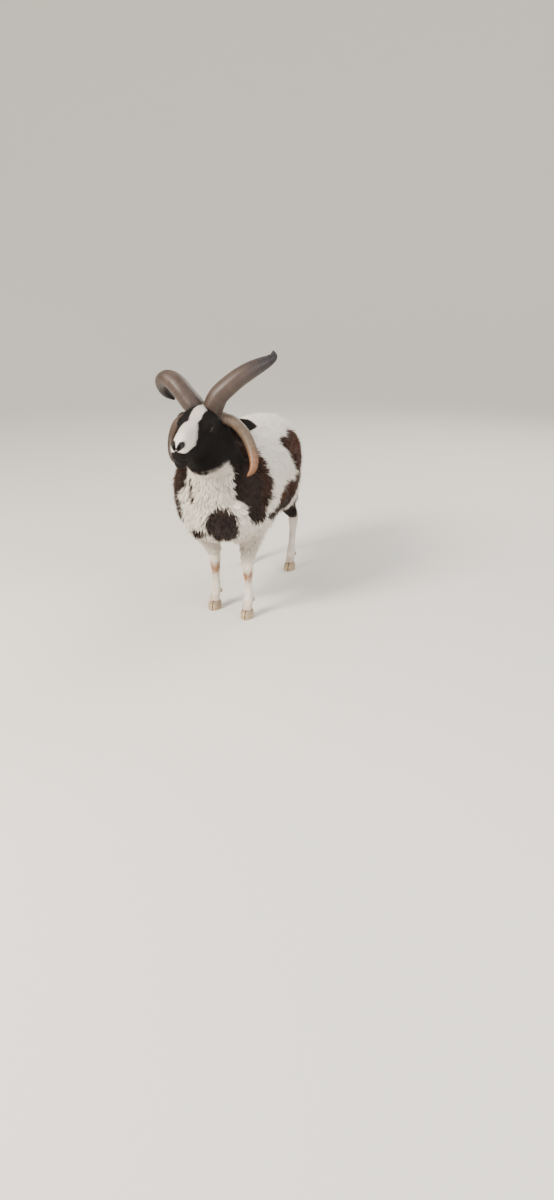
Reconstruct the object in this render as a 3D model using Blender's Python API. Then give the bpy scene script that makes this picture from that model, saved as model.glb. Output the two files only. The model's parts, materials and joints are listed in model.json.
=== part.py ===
"""A life-size standing four-horned Jacob ram, with its head held up and turned to its right.

Metres, +Z up. The ram faces -Y, and its left side is +X. The flesh is one closed form, out to the tips
of the coat, and is parted by thin flat cuts into head, neck, trunk, tail, scrotum and four legs.
Ears, eyes, horns, claws and dewclaws are pieces of their own. All eight soles are flat, at one level.
"""

import math
from collections import namedtuple

import bmesh
import bpy
from mathutils import Matrix, Vector

# Driving dimensions, in metres and degrees
GAP = 0.0004  # the thin cut between two pieces
BACK_HEIGHT = 0.735  # over the fleece, at the loin
BELLY_HEIGHT = 0.315  # under the fleece
CHEST_FRONT = -0.455  # y of the breast wool
RUMP_END = 0.475  # y of the rump wool
BARREL_HALF_WIDTH = 0.227
HEAD_LENGTH = 0.280  # poll to lip
POLL = (-0.034, -0.398, 0.850)
HEAD_PITCH = 19.0  # the nose points this far down
HEAD_TURN = 5.5  # the nose points this far to the ram's right
HEAD_TILT = 4.0  # the left ear is this much lower than the right
EYE_RADIUS = 0.0135
KNEE_HEIGHT = 0.205
HOCK_HEIGHT = 0.245
FETLOCK_HEIGHT = 0.076
CORONET_HEIGHT = 0.034  # where the hair ends and the claws begin
CLAW_LENGTH = 0.060
CLAW_WIDTH = 0.024

# The feet stand a little out of line, as in an easy stance
FEET = {
    "fore_left": (0.100, -0.332),
    "fore_right": (-0.060, -0.261),
    "hind_left": (0.125, 0.303),
    "hind_right": (-0.095, 0.335),
}

# How fine each piece's faceted surface is
FLESH_VOXEL = 0.009
FLESH_SMOOTHING = 6
KEEP = {
    "head": 0.095,
    "neck": 0.06,
    "trunk": 0.035,
    "tail": 0.06,
    "scrotum": 0.06,
    "leg": 0.065,
}

COLOURS = {
    "white_wool": (0.80, 0.74, 0.64),
    "black_wool": (0.045, 0.028, 0.022),
    "short_hair": (0.75, 0.68, 0.58),
    "horn": (0.22, 0.16, 0.13),
    "eye": (0.05, 0.03, 0.015),
    "claw": (0.30, 0.22, 0.16),
}

Ring = namedtuple("Ring", "x y z wide up down cup", defaults=(0.0,))


def clear_scene():
    for obj in list(bpy.data.objects):
        bpy.data.objects.remove(obj)


def finish(name, roughness=0.8):
    """The material of this name, made once."""
    material = bpy.data.materials.get(name)
    if material is None:
        material = bpy.data.materials.new(name)
        material.use_nodes = True
        shader = material.node_tree.nodes["Principled BSDF"]
        shader.inputs["Base Color"].default_value = (*COLOURS[name], 1.0)
        shader.inputs["Roughness"].default_value = roughness
        shader.inputs["Metallic"].default_value = 0.0
    return material


def place(name, mesh, material=None):
    obj = bpy.data.objects.new(name, mesh)
    bpy.context.scene.collection.objects.link(obj)
    if material is not None:
        obj.data.materials.clear()
        obj.data.materials.append(material)
    return obj


def hide(obj):
    """Keeps a cutter out of the model."""
    obj.hide_render = True
    obj.display_type = "WIRE"
    return obj


def between(rings, steps):
    """The rings with steps - 1 more between each pair, on smooth curves through them."""
    made = []
    last = len(rings) - 1
    for i in range(last):
        before, a, b, after = (rings[min(max(k, 0), last)] for k in (i - 1, i, i + 1, i + 2))
        for step in range(steps):
            t = step / steps
            made.append(Ring(*(curve_value(*values, t) for values in zip(before, a, b, after))))
    made.append(rings[-1])
    return made


def curve_value(p0, p1, p2, p3, t):
    """Catmull-Rom: the value at t on the way from p1 to p2."""
    slope_1 = (p2 - p0) / 2
    slope_2 = (p3 - p1) / 2
    rise = p2 - p1
    return p1 + t * (slope_1 + t * (3 * rise - 2 * slope_1 - slope_2 + t * (slope_1 + slope_2 - 2 * rise)))


def loft(rings, sides=28, steps=4, side=(1, 0, 0), square=1.0):
    """A closed mesh through rings. Each ring lies across the path, with its own radii to the side,
    up and down. With square under 1 the rings have fuller corners, and cup hollows one face."""
    rings = between(rings, steps)
    centres = [Vector(ring[:3]) for ring in rings]
    across = Vector(side)
    shape = bmesh.new()
    loops = []
    for i, ring in enumerate(rings):
        along = (centres[min(i + 1, len(rings) - 1)] - centres[max(i - 1, 0)]).normalized()
        across = (across - across.dot(along) * along).normalized()
        up = across.cross(along)
        loop = []
        for k in range(sides):
            turn = math.tau * k / sides
            c, s = math.cos(turn), math.sin(turn)
            flat = math.copysign(abs(c) ** square, c) * ring.wide
            high = math.copysign(abs(s) ** square, s) * (ring.up if s > 0 else ring.down)
            point = centres[i] + across * flat + up * (high + ring.cup * c * c)
            loop.append(shape.verts.new(point))
        loops.append(loop)
    for a, b in zip(loops, loops[1:]):
        for k in range(sides):
            n = (k + 1) % sides
            shape.faces.new((a[k], b[k], b[n], a[n]))
    shape.faces.new(loops[0])
    shape.faces.new(reversed(loops[-1]))
    bmesh.ops.recalc_face_normals(shape, faces=shape.faces)
    mesh = bpy.data.meshes.new("loft")
    shape.to_mesh(mesh)
    shape.free()
    return mesh


def ball(centre, radii, turn=Matrix.Identity(4), segments=24):
    """An ellipsoid."""
    shape = bmesh.new()
    size = Matrix.Diagonal((*radii, 1.0))
    bmesh.ops.create_uvsphere(shape, u_segments=segments, v_segments=segments // 2, radius=1.0,
                              matrix=Matrix.Translation(centre) @ turn @ size)
    mesh = bpy.data.meshes.new("ball")
    shape.to_mesh(mesh)
    shape.free()
    return mesh


def moved(mesh, matrix):
    mesh.transform(matrix)
    if matrix.determinant() < 0:
        mesh.flip_normals()
    return mesh


def mirrored(mesh):
    """A copy on the other side of the plane x = 0."""
    return moved(mesh.copy(), Matrix.Diagonal((-1.0, 1.0, 1.0, 1.0)))


def both_sides(mesh):
    return [mesh, mirrored(mesh)]


def joined(meshes):
    """One mesh that holds them all, still overlapping."""
    shape = bmesh.new()
    for mesh in meshes:
        shape.from_mesh(mesh)
    whole = bpy.data.meshes.new("joined")
    shape.to_mesh(whole)
    shape.free()
    return whole


def evaluated(obj):
    """The object's mesh with its modifiers applied. The object goes."""
    bpy.context.view_layer.update()
    graph = bpy.context.evaluated_depsgraph_get()
    mesh = bpy.data.meshes.new_from_object(obj.evaluated_get(graph))
    bpy.data.objects.remove(obj)
    return mesh


def fused(meshes, voxel, rounds):
    """One smooth closed skin around overlapping meshes."""
    obj = place("fusing", joined(meshes))
    remesh = obj.modifiers.new("fuse", "REMESH")
    remesh.mode = "VOXEL"
    remesh.voxel_size = voxel
    smooth = obj.modifiers.new("soften", "SMOOTH")
    smooth.factor = 0.5
    smooth.iterations = rounds
    return evaluated(obj)


def head_place():
    """The matrix that takes the head's own axes, with the poll at the origin and the nose along -Y, into place."""
    return (Matrix.Translation(POLL)
            @ Matrix.Rotation(math.radians(-HEAD_TURN), 4, "Z")
            @ Matrix.Rotation(math.radians(HEAD_PITCH), 4, "X")
            @ Matrix.Rotation(math.radians(HEAD_TILT), 4, "Y"))


def trunk_pieces():
    """The barrel, from breast to rump."""
    back = BACK_HEIGHT
    belly = BELLY_HEIGHT
    width = BARREL_HALF_WIDTH

    def ring(y, top, bottom, half_width, middle=0.5):
        centre = bottom + (top - bottom) * middle
        return Ring(0, y, centre, half_width, top - centre, centre - bottom)

    barrel = [
        ring(CHEST_FRONT, 0.57, 0.45, 0.045),
        ring(CHEST_FRONT + 0.02, 0.63, 0.365, 0.120),
        ring(CHEST_FRONT + 0.07, 0.66, 0.315, 0.178),
        ring(-0.30, 0.705, belly - 0.015, 0.212),
        ring(-0.20, back - 0.012, belly - 0.012, 0.220),
        ring(-0.06, back - 0.010, belly - 0.010, width - 0.006),
        ring(0.07, back - 0.008, belly - 0.012, width),
        ring(0.19, back - 0.002, belly + 0.008, width - 0.018),
        ring(0.29, back, belly + 0.045, width - 0.040),
        ring(0.37, back - 0.012, belly + 0.080, width - 0.066),
        ring(RUMP_END - 0.045, back - 0.055, belly + 0.120, 0.135),
        ring(RUMP_END, back - 0.125, belly + 0.190, 0.062),
    ]
    return [loft(barrel, sides=36, square=0.92)]


def neck_pieces():
    """The neck, from behind the jaw into the shoulders, with the full wool of the throat."""
    x, y, z = POLL
    rings = [
        Ring(x, y + 0.010, z - 0.070, 0.070, 0.062, 0.080),
        Ring(x * 0.9, y + 0.030, z - 0.120, 0.092, 0.080, 0.122),
        Ring(x * 0.7, y + 0.052, z - 0.180, 0.118, 0.105, 0.162),
        Ring(x * 0.4, y + 0.085, z - 0.240, 0.145, 0.135, 0.202),
        Ring(x * 0.1, y + 0.130, z - 0.305, 0.165, 0.160, 0.222),
        Ring(0.0, y + 0.190, z - 0.360, 0.170, 0.170, 0.220),
    ]
    nape = [
        Ring(x * 0.9, y + 0.050, z - 0.066, 0.058, 0.050, 0.060),
        Ring(x * 0.8, y + 0.084, z - 0.080, 0.074, 0.060, 0.070),
        Ring(x * 0.6, y + 0.132, z - 0.108, 0.086, 0.070, 0.080),
        Ring(x * 0.4, y + 0.182, z - 0.132, 0.094, 0.075, 0.090),
        Ring(x * 0.2, y + 0.242, z - 0.161, 0.102, 0.080, 0.090),
        Ring(0.0, y + 0.302, z - 0.188, 0.106, 0.085, 0.090),
        Ring(0.0, y + 0.372, z - 0.212, 0.106, 0.082, 0.090),
    ]
    return [loft(rings), loft(nape)]


def head_pieces():
    """The head in its own axes: skull, jaw, brows, cheeks, nostrils and lips."""
    long = HEAD_LENGTH / 0.270

    def ring(forward, top, bottom, half_width, middle=0.45):
        centre = bottom + (top - bottom) * (1 - middle)
        return Ring(0, -forward * long, centre, half_width, top - centre, centre - bottom)

    skull = [
        ring(-0.035, -0.030, -0.095, 0.036),
        ring(-0.015, -0.010, -0.130, 0.056),
        ring(0.015, 0.002, -0.160, 0.066),
        ring(0.050, 0.006, -0.178, 0.069),
        ring(0.085, 0.006, -0.176, 0.065),
        ring(0.120, 0.006, -0.160, 0.052),
        ring(0.155, 0.005, -0.140, 0.041),
        ring(0.190, 0.002, -0.124, 0.033),
        ring(0.220, -0.004, -0.116, 0.030),
        ring(0.245, -0.012, -0.106, 0.029),
        ring(0.262, -0.024, -0.090, 0.024),
        ring(0.270, -0.038, -0.074, 0.010),
    ]
    pieces = [loft(skull, side=(1, 0, 0), square=0.86)]
    brow = ball((0.050, -0.096 * long, -0.026), (0.021, 0.030, 0.022))
    cheek = ball((0.040, -0.078 * long, -0.118), (0.030, 0.060, 0.050))
    nostril = ball((0.017, -0.250 * long, -0.036), (0.015, 0.017, 0.017))
    upper_lip = ball((0.016, -0.246 * long, -0.066), (0.018, 0.021, 0.015))
    for feature in (brow, cheek, nostril, upper_lip):
        pieces += both_sides(feature)
    pieces.append(ball((0, -0.232 * long, -0.098), (0.025, 0.028, 0.014)))
    pieces.append(ball((0, -0.115 * long, 0.002), (0.034, 0.085, 0.012)))
    pieces.append(ball((0, -0.012, -0.020), (0.058, 0.040, 0.034)))
    place_matrix = head_place()
    return [moved(piece, place_matrix) for piece in pieces]


def foreleg_pieces(foot_x, foot_y):
    """A foreleg, from the shoulder to the coronet."""
    out = math.copysign(1, foot_x)
    top_y = -0.262
    knee_y = foot_y + 0.012
    rings = [
        Ring(out * 0.110, top_y, 0.500, 0.075, 0.085, 0.085),
        Ring(out * 0.108, top_y, 0.420, 0.068, 0.088, 0.080),
        Ring(out * 0.102, top_y * 0.7 + knee_y * 0.3, 0.350, 0.056, 0.078, 0.062),
        Ring(foot_x * 0.6 + out * 0.040, top_y * 0.35 + knee_y * 0.65, 0.290, 0.040, 0.055, 0.044),
        Ring(foot_x * 0.85 + out * 0.015, knee_y + 0.004, 0.245, 0.029, 0.031, 0.031),
        Ring(foot_x, knee_y, KNEE_HEIGHT, 0.0255, 0.025, 0.029),
        Ring(foot_x, knee_y + 0.003, KNEE_HEIGHT - 0.035, 0.0205, 0.022, 0.021),
        Ring(foot_x, knee_y + 0.005, 0.130, 0.0175, 0.020, 0.018),
        Ring(foot_x, knee_y + 0.004, FETLOCK_HEIGHT + 0.020, 0.020, 0.025, 0.020),
        Ring(foot_x, knee_y + 0.000, FETLOCK_HEIGHT, 0.0235, 0.026, 0.023),
        Ring(foot_x, knee_y - 0.012, FETLOCK_HEIGHT - 0.024, 0.0215, 0.021, 0.021),
        Ring(foot_x, knee_y - 0.020, CORONET_HEIGHT, 0.0255, 0.024, 0.023),
        Ring(foot_x, knee_y - 0.022, CORONET_HEIGHT - 0.016, 0.0255, 0.024, 0.023),
    ]
    return [loft(rings, sides=24)]


def hindleg_pieces(foot_x, foot_y):
    """A hind leg: the woolly thigh, the gaskin, the hock and the cannon."""
    out = math.copysign(1, foot_x)
    hock_y = foot_y + 0.072
    rings = [
        Ring(out * 0.090, 0.290, 0.600, 0.080, 0.130, 0.130),
        Ring(out * 0.098, 0.290, 0.500, 0.088, 0.150, 0.140),
        Ring(out * 0.106, 0.288, 0.425, 0.079, 0.130, 0.120),
        Ring(out * 0.110, hock_y - 0.070, 0.360, 0.058, 0.085, 0.090),
        Ring(out * 0.108, hock_y - 0.035, 0.305, 0.039, 0.052, 0.055),
        Ring(foot_x, hock_y - 0.008, HOCK_HEIGHT + 0.015, 0.0265, 0.036, 0.032),
        Ring(foot_x, hock_y, HOCK_HEIGHT - 0.022, 0.0235, 0.030, 0.026),
        Ring(foot_x, hock_y - 0.006, 0.175, 0.0185, 0.022, 0.021),
        Ring(foot_x, hock_y - 0.020, 0.120, 0.0180, 0.021, 0.020),
        Ring(foot_x, hock_y - 0.034, FETLOCK_HEIGHT + 0.014, 0.0205, 0.025, 0.022),
        Ring(foot_x, hock_y - 0.042, FETLOCK_HEIGHT - 0.004, 0.0230, 0.025, 0.023),
        Ring(foot_x, hock_y - 0.057, FETLOCK_HEIGHT - 0.028, 0.0210, 0.021, 0.021),
        Ring(foot_x, foot_y + 0.004, CORONET_HEIGHT, 0.0245, 0.024, 0.023),
        Ring(foot_x, foot_y + 0.002, CORONET_HEIGHT - 0.016, 0.0245, 0.024, 0.023),
    ]
    return [loft(rings, sides=24)]


def tail_pieces():
    """The woolly tail, which hangs to just above the hocks."""
    rings = [
        Ring(0, RUMP_END - 0.080, 0.655, 0.035, 0.030, 0.030),
        Ring(0, RUMP_END - 0.030, 0.645, 0.042, 0.036, 0.036),
        Ring(0, RUMP_END + 0.005, 0.600, 0.044, 0.034, 0.034),
        Ring(0, RUMP_END + 0.012, 0.520, 0.042, 0.030, 0.030),
        Ring(0, RUMP_END + 0.008, 0.430, 0.037, 0.027, 0.027),
        Ring(0, RUMP_END + 0.000, 0.345, 0.029, 0.022, 0.022),
        Ring(0, RUMP_END - 0.006, 0.295, 0.014, 0.011, 0.011),
    ]
    return [loft(rings, sides=20)]


def scrotum_pieces():
    """The pouch between the thighs."""
    rings = [
        Ring(0, 0.235, 0.440, 0.030, 0.030, 0.030),
        Ring(0, 0.240, 0.380, 0.032, 0.030, 0.032),
        Ring(0, 0.245, 0.320, 0.044, 0.036, 0.038),
        Ring(0, 0.248, 0.275, 0.042, 0.034, 0.036),
        Ring(0, 0.250, 0.245, 0.016, 0.014, 0.014),
    ]
    return [loft(rings, sides=20)]


def flesh_mesh():
    """The whole animal's outer form, without ears, eyes, horns and claws."""
    pieces = trunk_pieces() + neck_pieces() + head_pieces() + tail_pieces() + scrotum_pieces()
    for name, (x, y) in FEET.items():
        pieces += foreleg_pieces(x, y) if name.startswith("fore") else hindleg_pieces(x, y)
    return fused(pieces, FLESH_VOXEL, FLESH_SMOOTHING)


def prism(name, outline, near, far, matrix=Matrix.Identity(4), gap=0.0, top_slope=0.0):
    """A hidden block: the outline in the plane of y and z, drawn out in x from near to far.
    top_slope raises its points above the floor with distance from x = 0, and gap grows it all round."""
    shape = bmesh.new()
    faces = []
    for x in (near, far):
        loop = [shape.verts.new((x, y, z + top_slope * abs(x) * (z > 0.2))) for y, z in outline]
        faces.append(loop)
    count = len(outline)
    shape.faces.new(faces[0])
    shape.faces.new(reversed(faces[1]))
    for k in range(count):
        n = (k + 1) % count
        shape.faces.new((faces[0][n], faces[0][k], faces[1][k], faces[1][n]))
    bmesh.ops.recalc_face_normals(shape, faces=shape.faces)
    shape.transform(matrix)
    shape.normal_update()
    grown = [(vert, vert.normal * gap * vert.calc_shell_factor()) for vert in shape.verts]
    for vert, move in grown:
        vert.co += move
    mesh = bpy.data.meshes.new(name)
    shape.to_mesh(mesh)
    shape.free()
    return hide(place(name, mesh))


def boolean(obj, cutter, operation):
    modifier = obj.modifiers.new(f"{operation.lower()} {cutter.name}", "BOOLEAN")
    modifier.operation = operation
    modifier.solver = "EXACT"
    modifier.object = cutter
    return modifier


def thinned(obj, keep):
    """Fewer, larger facets."""
    modifier = obj.modifiers.new("facets", "DECIMATE")
    modifier.ratio = keep


def cells():
    """Where the flesh is parted: {node: the settings of the prism that holds it}."""
    head_turn = head_place()
    rump = RUMP_END
    found = {
        "head": dict(
            outline=((-0.60, 0.40), (0.045, 0.40), (0.045, -0.060), (-0.025, -0.196), (-0.60, -0.196)),
            near=-0.30, far=0.30, matrix=head_turn),
        "neck": dict(
            outline=((-0.60, 0.570), (-0.455, 0.570), (-0.215, 0.760), (-0.215, 1.20), (-0.60, 1.20)),
            near=-0.30, far=0.30),
        "tail": dict(
            outline=((rump - 0.002, 0.700), (rump - 0.006, 0.600), (rump - 0.030, 0.480),
                     (rump - 0.040, 0.240), (rump + 0.100, 0.240), (rump + 0.100, 0.700)),
            near=-0.051, far=0.051),
        "scrotum": dict(
            outline=((0.180, 0.200), (0.320, 0.200), (0.320, 0.348), (0.180, 0.330)),
            near=-0.0505, far=0.0505),
    }
    for name, (foot_x, _) in FEET.items():
        out = math.copysign(1, foot_x)
        if name.startswith("fore"):
            outline = ((-0.47, -0.05), (-0.14, -0.05), (-0.14, 0.292), (-0.47, 0.292))
            near, far, slope = 0.001, 0.30, 0.55
        else:
            outline = ((0.15, -0.05), (0.56, -0.05), (0.56, 0.345), (0.15, 0.345))
            near, far, slope = 0.052, 0.30, 0.50
        found[name] = dict(outline=outline, near=near * out, far=far * out, top_slope=slope)
    return found


def flesh_nodes(flesh):
    """The named parts of the flesh, each cut from the same form."""
    settings = cells()
    held = {name: prism(f"holds_{name}", **values) for name, values in settings.items()}
    kept_off = {name: prism(f"keeps_off_{name}", gap=GAP, **values) for name, values in settings.items()}
    below = prism("below_coronets", ((-0.6, -0.1), (0.6, -0.1), (0.6, CORONET_HEIGHT), (-0.6, CORONET_HEIGHT)), -0.4, 0.4)
    made = {}
    for name in settings:
        leg = name in FEET
        node = f"leg_{name}" if leg else name
        colour = "black_wool" if name == "head" else "short_hair" if leg else "white_wool"
        obj = place(node, flesh.copy(), finish(colour))
        thinned(obj, KEEP["leg" if leg else name])
        boolean(obj, held[name], "INTERSECT")
        if leg:
            boolean(obj, below, "DIFFERENCE")
        if name == "neck":
            boolean(obj, kept_off["head"], "DIFFERENCE")
        made[node] = obj
    trunk = place("trunk", flesh.copy(), finish("white_wool"))
    thinned(trunk, KEEP["trunk"])
    for box in kept_off.values():
        boolean(trunk, box, "DIFFERENCE")
    made["trunk"] = trunk
    return made


def grown(obj):
    """A hidden copy of a finished piece, larger all round than the thin cut."""
    copy = hide(place(f"keeps_off_{obj.name}", flat_copy(obj)))
    grow = copy.modifiers.new("grow", "DISPLACE")
    grow.strength = 2 * GAP
    grow.mid_level = 0.0
    return copy


def flat_copy(obj):
    """The object's mesh with its modifiers applied, as a new mesh."""
    bpy.context.view_layer.update()
    graph = bpy.context.evaluated_depsgraph_get()
    return bpy.data.meshes.new_from_object(obj.evaluated_get(graph))


# Each horn's path in the head's own axes, from inside the skull to the tip
HORN_PATHS = {
    "horn_upper_left": (
        (0.016, -0.006, -0.045), (0.034, 0.000, 0.000), (0.054, 0.010, 0.040), (0.084, 0.029, 0.069),
        (0.119, 0.059, 0.095), (0.156, 0.092, 0.114), (0.187, 0.122, 0.125), (0.208, 0.146, 0.132),
        (0.219, 0.160, 0.143), (0.217, 0.168, 0.162)),
    "horn_upper_right": (
        (-0.022, -0.006, -0.048), (-0.044, 0.000, -0.008), (-0.066, 0.006, 0.014), (-0.090, 0.014, 0.038),
        (-0.123, 0.030, 0.060), (-0.162, 0.050, 0.066), (-0.196, 0.070, 0.046), (-0.214, 0.092, 0.010),
        (-0.210, 0.112, -0.030), (-0.184, 0.128, -0.062)),
    "horn_lower_left": (
        (0.030, 0.006, -0.046), (0.064, 0.012, -0.052), (0.105, 0.016, -0.067), (0.146, 0.008, -0.104),
        (0.178, -0.018, -0.142), (0.198, -0.050, -0.175), (0.201, -0.077, -0.200), (0.187, -0.100, -0.217)),
    "horn_lower_right": (
        (-0.030, 0.006, -0.052), (-0.066, 0.014, -0.062), (-0.100, 0.016, -0.078), (-0.130, 0.012, -0.104),
        (-0.146, -0.002, -0.145), (-0.146, -0.028, -0.184), (-0.132, -0.054, -0.210), (-0.108, -0.076, -0.222)),
}
# Each horn's radius across its path, at the path's own points
UPPER_HORN = (0.0400, 0.0425, 0.0415, 0.0400, 0.0385, 0.0350, 0.0290, 0.0225, 0.0175, 0.0050)
LOWER_HORN = (0.0230, 0.0235, 0.0235, 0.0230, 0.0210, 0.0180, 0.0135, 0.0040)
HORN_OVAL = 0.90  # a horn's thickness over its breadth
EAR_PATH = ((0.046, 0.016, -0.072), (0.074, 0.042, -0.094), (0.104, 0.064, -0.101), (0.140, 0.080, -0.108),
            (0.166, 0.087, -0.113))
EAR_BREADTH = (0.014, 0.018, 0.029, 0.024, 0.004)
EAR_THICKNESS = (0.011, 0.008, 0.0055, 0.0045, 0.002)
EYE_CENTRE = (0.0580, -0.1040, -0.036)


def horn_rings(name):
    path = HORN_PATHS[name]
    radii = UPPER_HORN if "upper" in name else LOWER_HORN
    return [Ring(*point, radius, radius * HORN_OVAL, radius * HORN_OVAL) for point, radius in zip(path, radii)]


def add_horns(*flesh_skins):
    """The four horns. The upper pair come first, and the lower pair grow clear of them."""
    made = {}
    skins = list(flesh_skins)
    for name in HORN_PATHS:
        mesh = loft(horn_rings(name), sides=12, steps=2, side=(0, 1, 0))
        horn = place(name, moved(mesh, head_place()), finish("horn", 0.5))
        for skin in skins:
            boolean(horn, skin, "DIFFERENCE")
        made[name] = horn
        if "upper" in name:
            skins.append(grown(horn))
    return made


def add_ears(*skins):
    rings = [Ring(*point, wide, thick, thick, -0.25 * wide)
             for point, wide, thick in zip(EAR_PATH, EAR_BREADTH, EAR_THICKNESS)]
    left = loft(rings, sides=12, steps=2, side=(0.1, 0.35, 0.9))
    made = {}
    for name, mesh in (("ear_left", left), ("ear_right", mirrored(left))):
        ear = place(name, moved(mesh, head_place()), finish("black_wool"))
        for skin in skins:
            boolean(ear, skin, "DIFFERENCE")
        made[name] = ear
    return made


def add_eyes(head):
    """Each eye is a ball in a socket cut from the head."""
    made = {}
    for name, out in (("eye_left", 1), ("eye_right", -1)):
        centre = head_place() @ Vector((out * EYE_CENTRE[0], EYE_CENTRE[1], EYE_CENTRE[2]))
        made[name] = place(name, ball(centre, (EYE_RADIUS,) * 3, segments=16), finish("eye", 0.1))
        socket = hide(place(f"socket_{name}", ball(centre, (EYE_RADIUS + GAP,) * 3, segments=16)))
        boolean(head, socket, "DIFFERENCE")
    return made


def claw_mesh(out):
    """One half of a cloven foot, with its sole flat on the floor and its point along -Y.
    out is 1 for the claw on the left of the cleft, and -1 for the other."""
    shape = bmesh.new()
    loops = []
    for height, scale, back in ((0.0, 1.0, 0.0), (0.5, 0.98, 0.001), (1.0, 0.80, 0.004)):
        z = height * (CORONET_HEIGHT - GAP)
        loop = []
        outline = ((0.0, 0.40), (0.35, 0.46), (0.85, 0.34), (1.0, 0.05), (0.90, -0.28), (0.50, -0.52), (0.12, -0.60),
                   (0.0, -0.50))
        for across, along in outline:
            x = out * (0.0012 + across * CLAW_WIDTH * (0.90 + 0.10 * scale))
            y = (along * scale if along < 0 else along) * CLAW_LENGTH + back
            loop.append(shape.verts.new((x, y, z)))
        loops.append(loop)
    for a, b in zip(loops, loops[1:]):
        for k in range(len(a)):
            n = (k + 1) % len(a)
            shape.faces.new((a[k], b[k], b[n], a[n]))
    shape.faces.new(loops[0])
    shape.faces.new(reversed(loops[-1]))
    bmesh.ops.recalc_face_normals(shape, faces=shape.faces)
    mesh = bpy.data.meshes.new("claw")
    shape.to_mesh(mesh)
    shape.free()
    return mesh


def add_feet(made):
    """The claws under each leg, and the two small dewclaws behind its fetlock."""
    for name, (x, y) in FEET.items():
        leg = made[f"leg_{name}"]
        fore = name.startswith("fore")
        foot_y = y - 0.008 if fore else y + 0.002
        for side, out in (("outer", math.copysign(1, x)), ("inner", -math.copysign(1, x))):
            claw = place(f"claw_{name}_{side}", claw_mesh(out), finish("claw", 0.45))
            claw.data.transform(Matrix.Translation((x, foot_y, 0)))
            behind = y + (0.029 if fore else 0.047)
            centre = Vector((x + out * 0.013, behind, FETLOCK_HEIGHT - 0.010))
            lean = Matrix.Rotation(math.radians(25), 4, "X")
            dew = ball(centre, (0.0065, 0.0085, 0.0100), lean, segments=6)
            place(f"dewclaw_{name}_{side}", dew, finish("claw", 0.45))
            around = ball(centre, (0.0065 + GAP, 0.0085 + GAP, 0.0100 + GAP), lean, segments=6)
            boolean(leg, hide(place(f"room_for_dewclaw_{name}_{side}", around)), "DIFFERENCE")


def centre_on_floor():
    """Moves everything, cutters too, so the middle of the model's floor outline is at the origin."""
    shown = [obj for obj in bpy.data.objects if not obj.hide_render]
    low = Vector((math.inf,) * 3)
    high = Vector((-math.inf,) * 3)
    for obj in shown:
        for vert in flat_copy(obj).vertices:
            low = Vector(map(min, low, vert.co))
            high = Vector(map(max, high, vert.co))
    move = Matrix.Translation((-(low.x + high.x) / 2, -(low.y + high.y) / 2, -low.z))
    for obj in bpy.data.objects:
        obj.data.transform(move)


def main():
    clear_scene()
    made = flesh_nodes(flesh_mesh())
    add_eyes(made["head"])
    head_skin = grown(made["head"])
    neck_skin = grown(made["neck"])
    horns = add_horns(head_skin, neck_skin)
    lower_horns = [grown(horns[name]) for name in ("horn_lower_left", "horn_lower_right")]
    add_ears(head_skin, neck_skin, *lower_horns)
    add_feet(made)
    centre_on_floor()


main()
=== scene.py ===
"""A standing four-horned piebald ram as a still museum model, in a plain pale studio.

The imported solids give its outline. One skin is drawn under them, by the coat's depth, and joined tufts
of wool and hair are grown from that skin. Horns, eyes and claws are pieces of their own.
"""
import json
import logging
import math
from dataclasses import dataclass, field, fields
from enum import IntEnum

import bmesh
import bpy
import numpy as np
from mathutils import Matrix, Vector
from mathutils.bvhtree import BVHTree
from mathutils.kdtree import KDTree

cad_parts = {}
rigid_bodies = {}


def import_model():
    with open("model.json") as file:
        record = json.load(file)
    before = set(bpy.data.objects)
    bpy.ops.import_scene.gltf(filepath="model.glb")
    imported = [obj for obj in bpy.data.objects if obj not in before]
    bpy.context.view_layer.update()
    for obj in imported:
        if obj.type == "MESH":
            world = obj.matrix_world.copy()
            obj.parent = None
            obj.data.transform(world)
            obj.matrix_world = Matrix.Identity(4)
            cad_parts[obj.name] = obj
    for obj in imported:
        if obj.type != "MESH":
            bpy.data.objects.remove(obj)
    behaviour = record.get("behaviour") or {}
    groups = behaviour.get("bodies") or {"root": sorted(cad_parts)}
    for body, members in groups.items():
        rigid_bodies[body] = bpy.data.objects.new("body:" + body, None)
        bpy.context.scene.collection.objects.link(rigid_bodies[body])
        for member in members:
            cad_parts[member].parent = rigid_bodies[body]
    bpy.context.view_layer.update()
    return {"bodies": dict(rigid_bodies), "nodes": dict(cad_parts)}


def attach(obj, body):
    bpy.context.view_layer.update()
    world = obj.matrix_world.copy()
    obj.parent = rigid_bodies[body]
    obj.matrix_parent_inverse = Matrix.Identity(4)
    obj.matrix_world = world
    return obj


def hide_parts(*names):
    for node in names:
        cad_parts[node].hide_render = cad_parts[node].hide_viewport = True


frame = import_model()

LOG = logging.getLogger("ram")
BODY = "root"
SEED = 20731
LATTICE_PRIMES = (73856093, 19349663, 83492791)
SEED_PRIME = 2654435761
STIR_PRIME = 1274126177
Array = np.ndarray

# The solids' own lines, in metres in the row frame, and the head's angles in degrees
SHIFT = (0.01674, 0.06612)
POLL = (-0.034 + SHIFT[0], -0.398 + SHIFT[1], 0.850)
HEAD_PITCH = 19.0
HEAD_TURN = 5.5
HEAD_TILT = 4.0
MIDLINE = SHIFT[0]
CORONET_HEIGHT = 0.034


class Region(IntEnum):
    """The solids of flesh. Each name in small letters is its node's name."""

    TRUNK = 0
    NECK = 1
    HEAD = 2
    TAIL = 3
    SCROTUM = 4
    EAR_LEFT = 5
    EAR_RIGHT = 6
    LEG_FORE_LEFT = 7
    LEG_FORE_RIGHT = 8
    LEG_HIND_LEFT = 9
    LEG_HIND_RIGHT = 10


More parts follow.
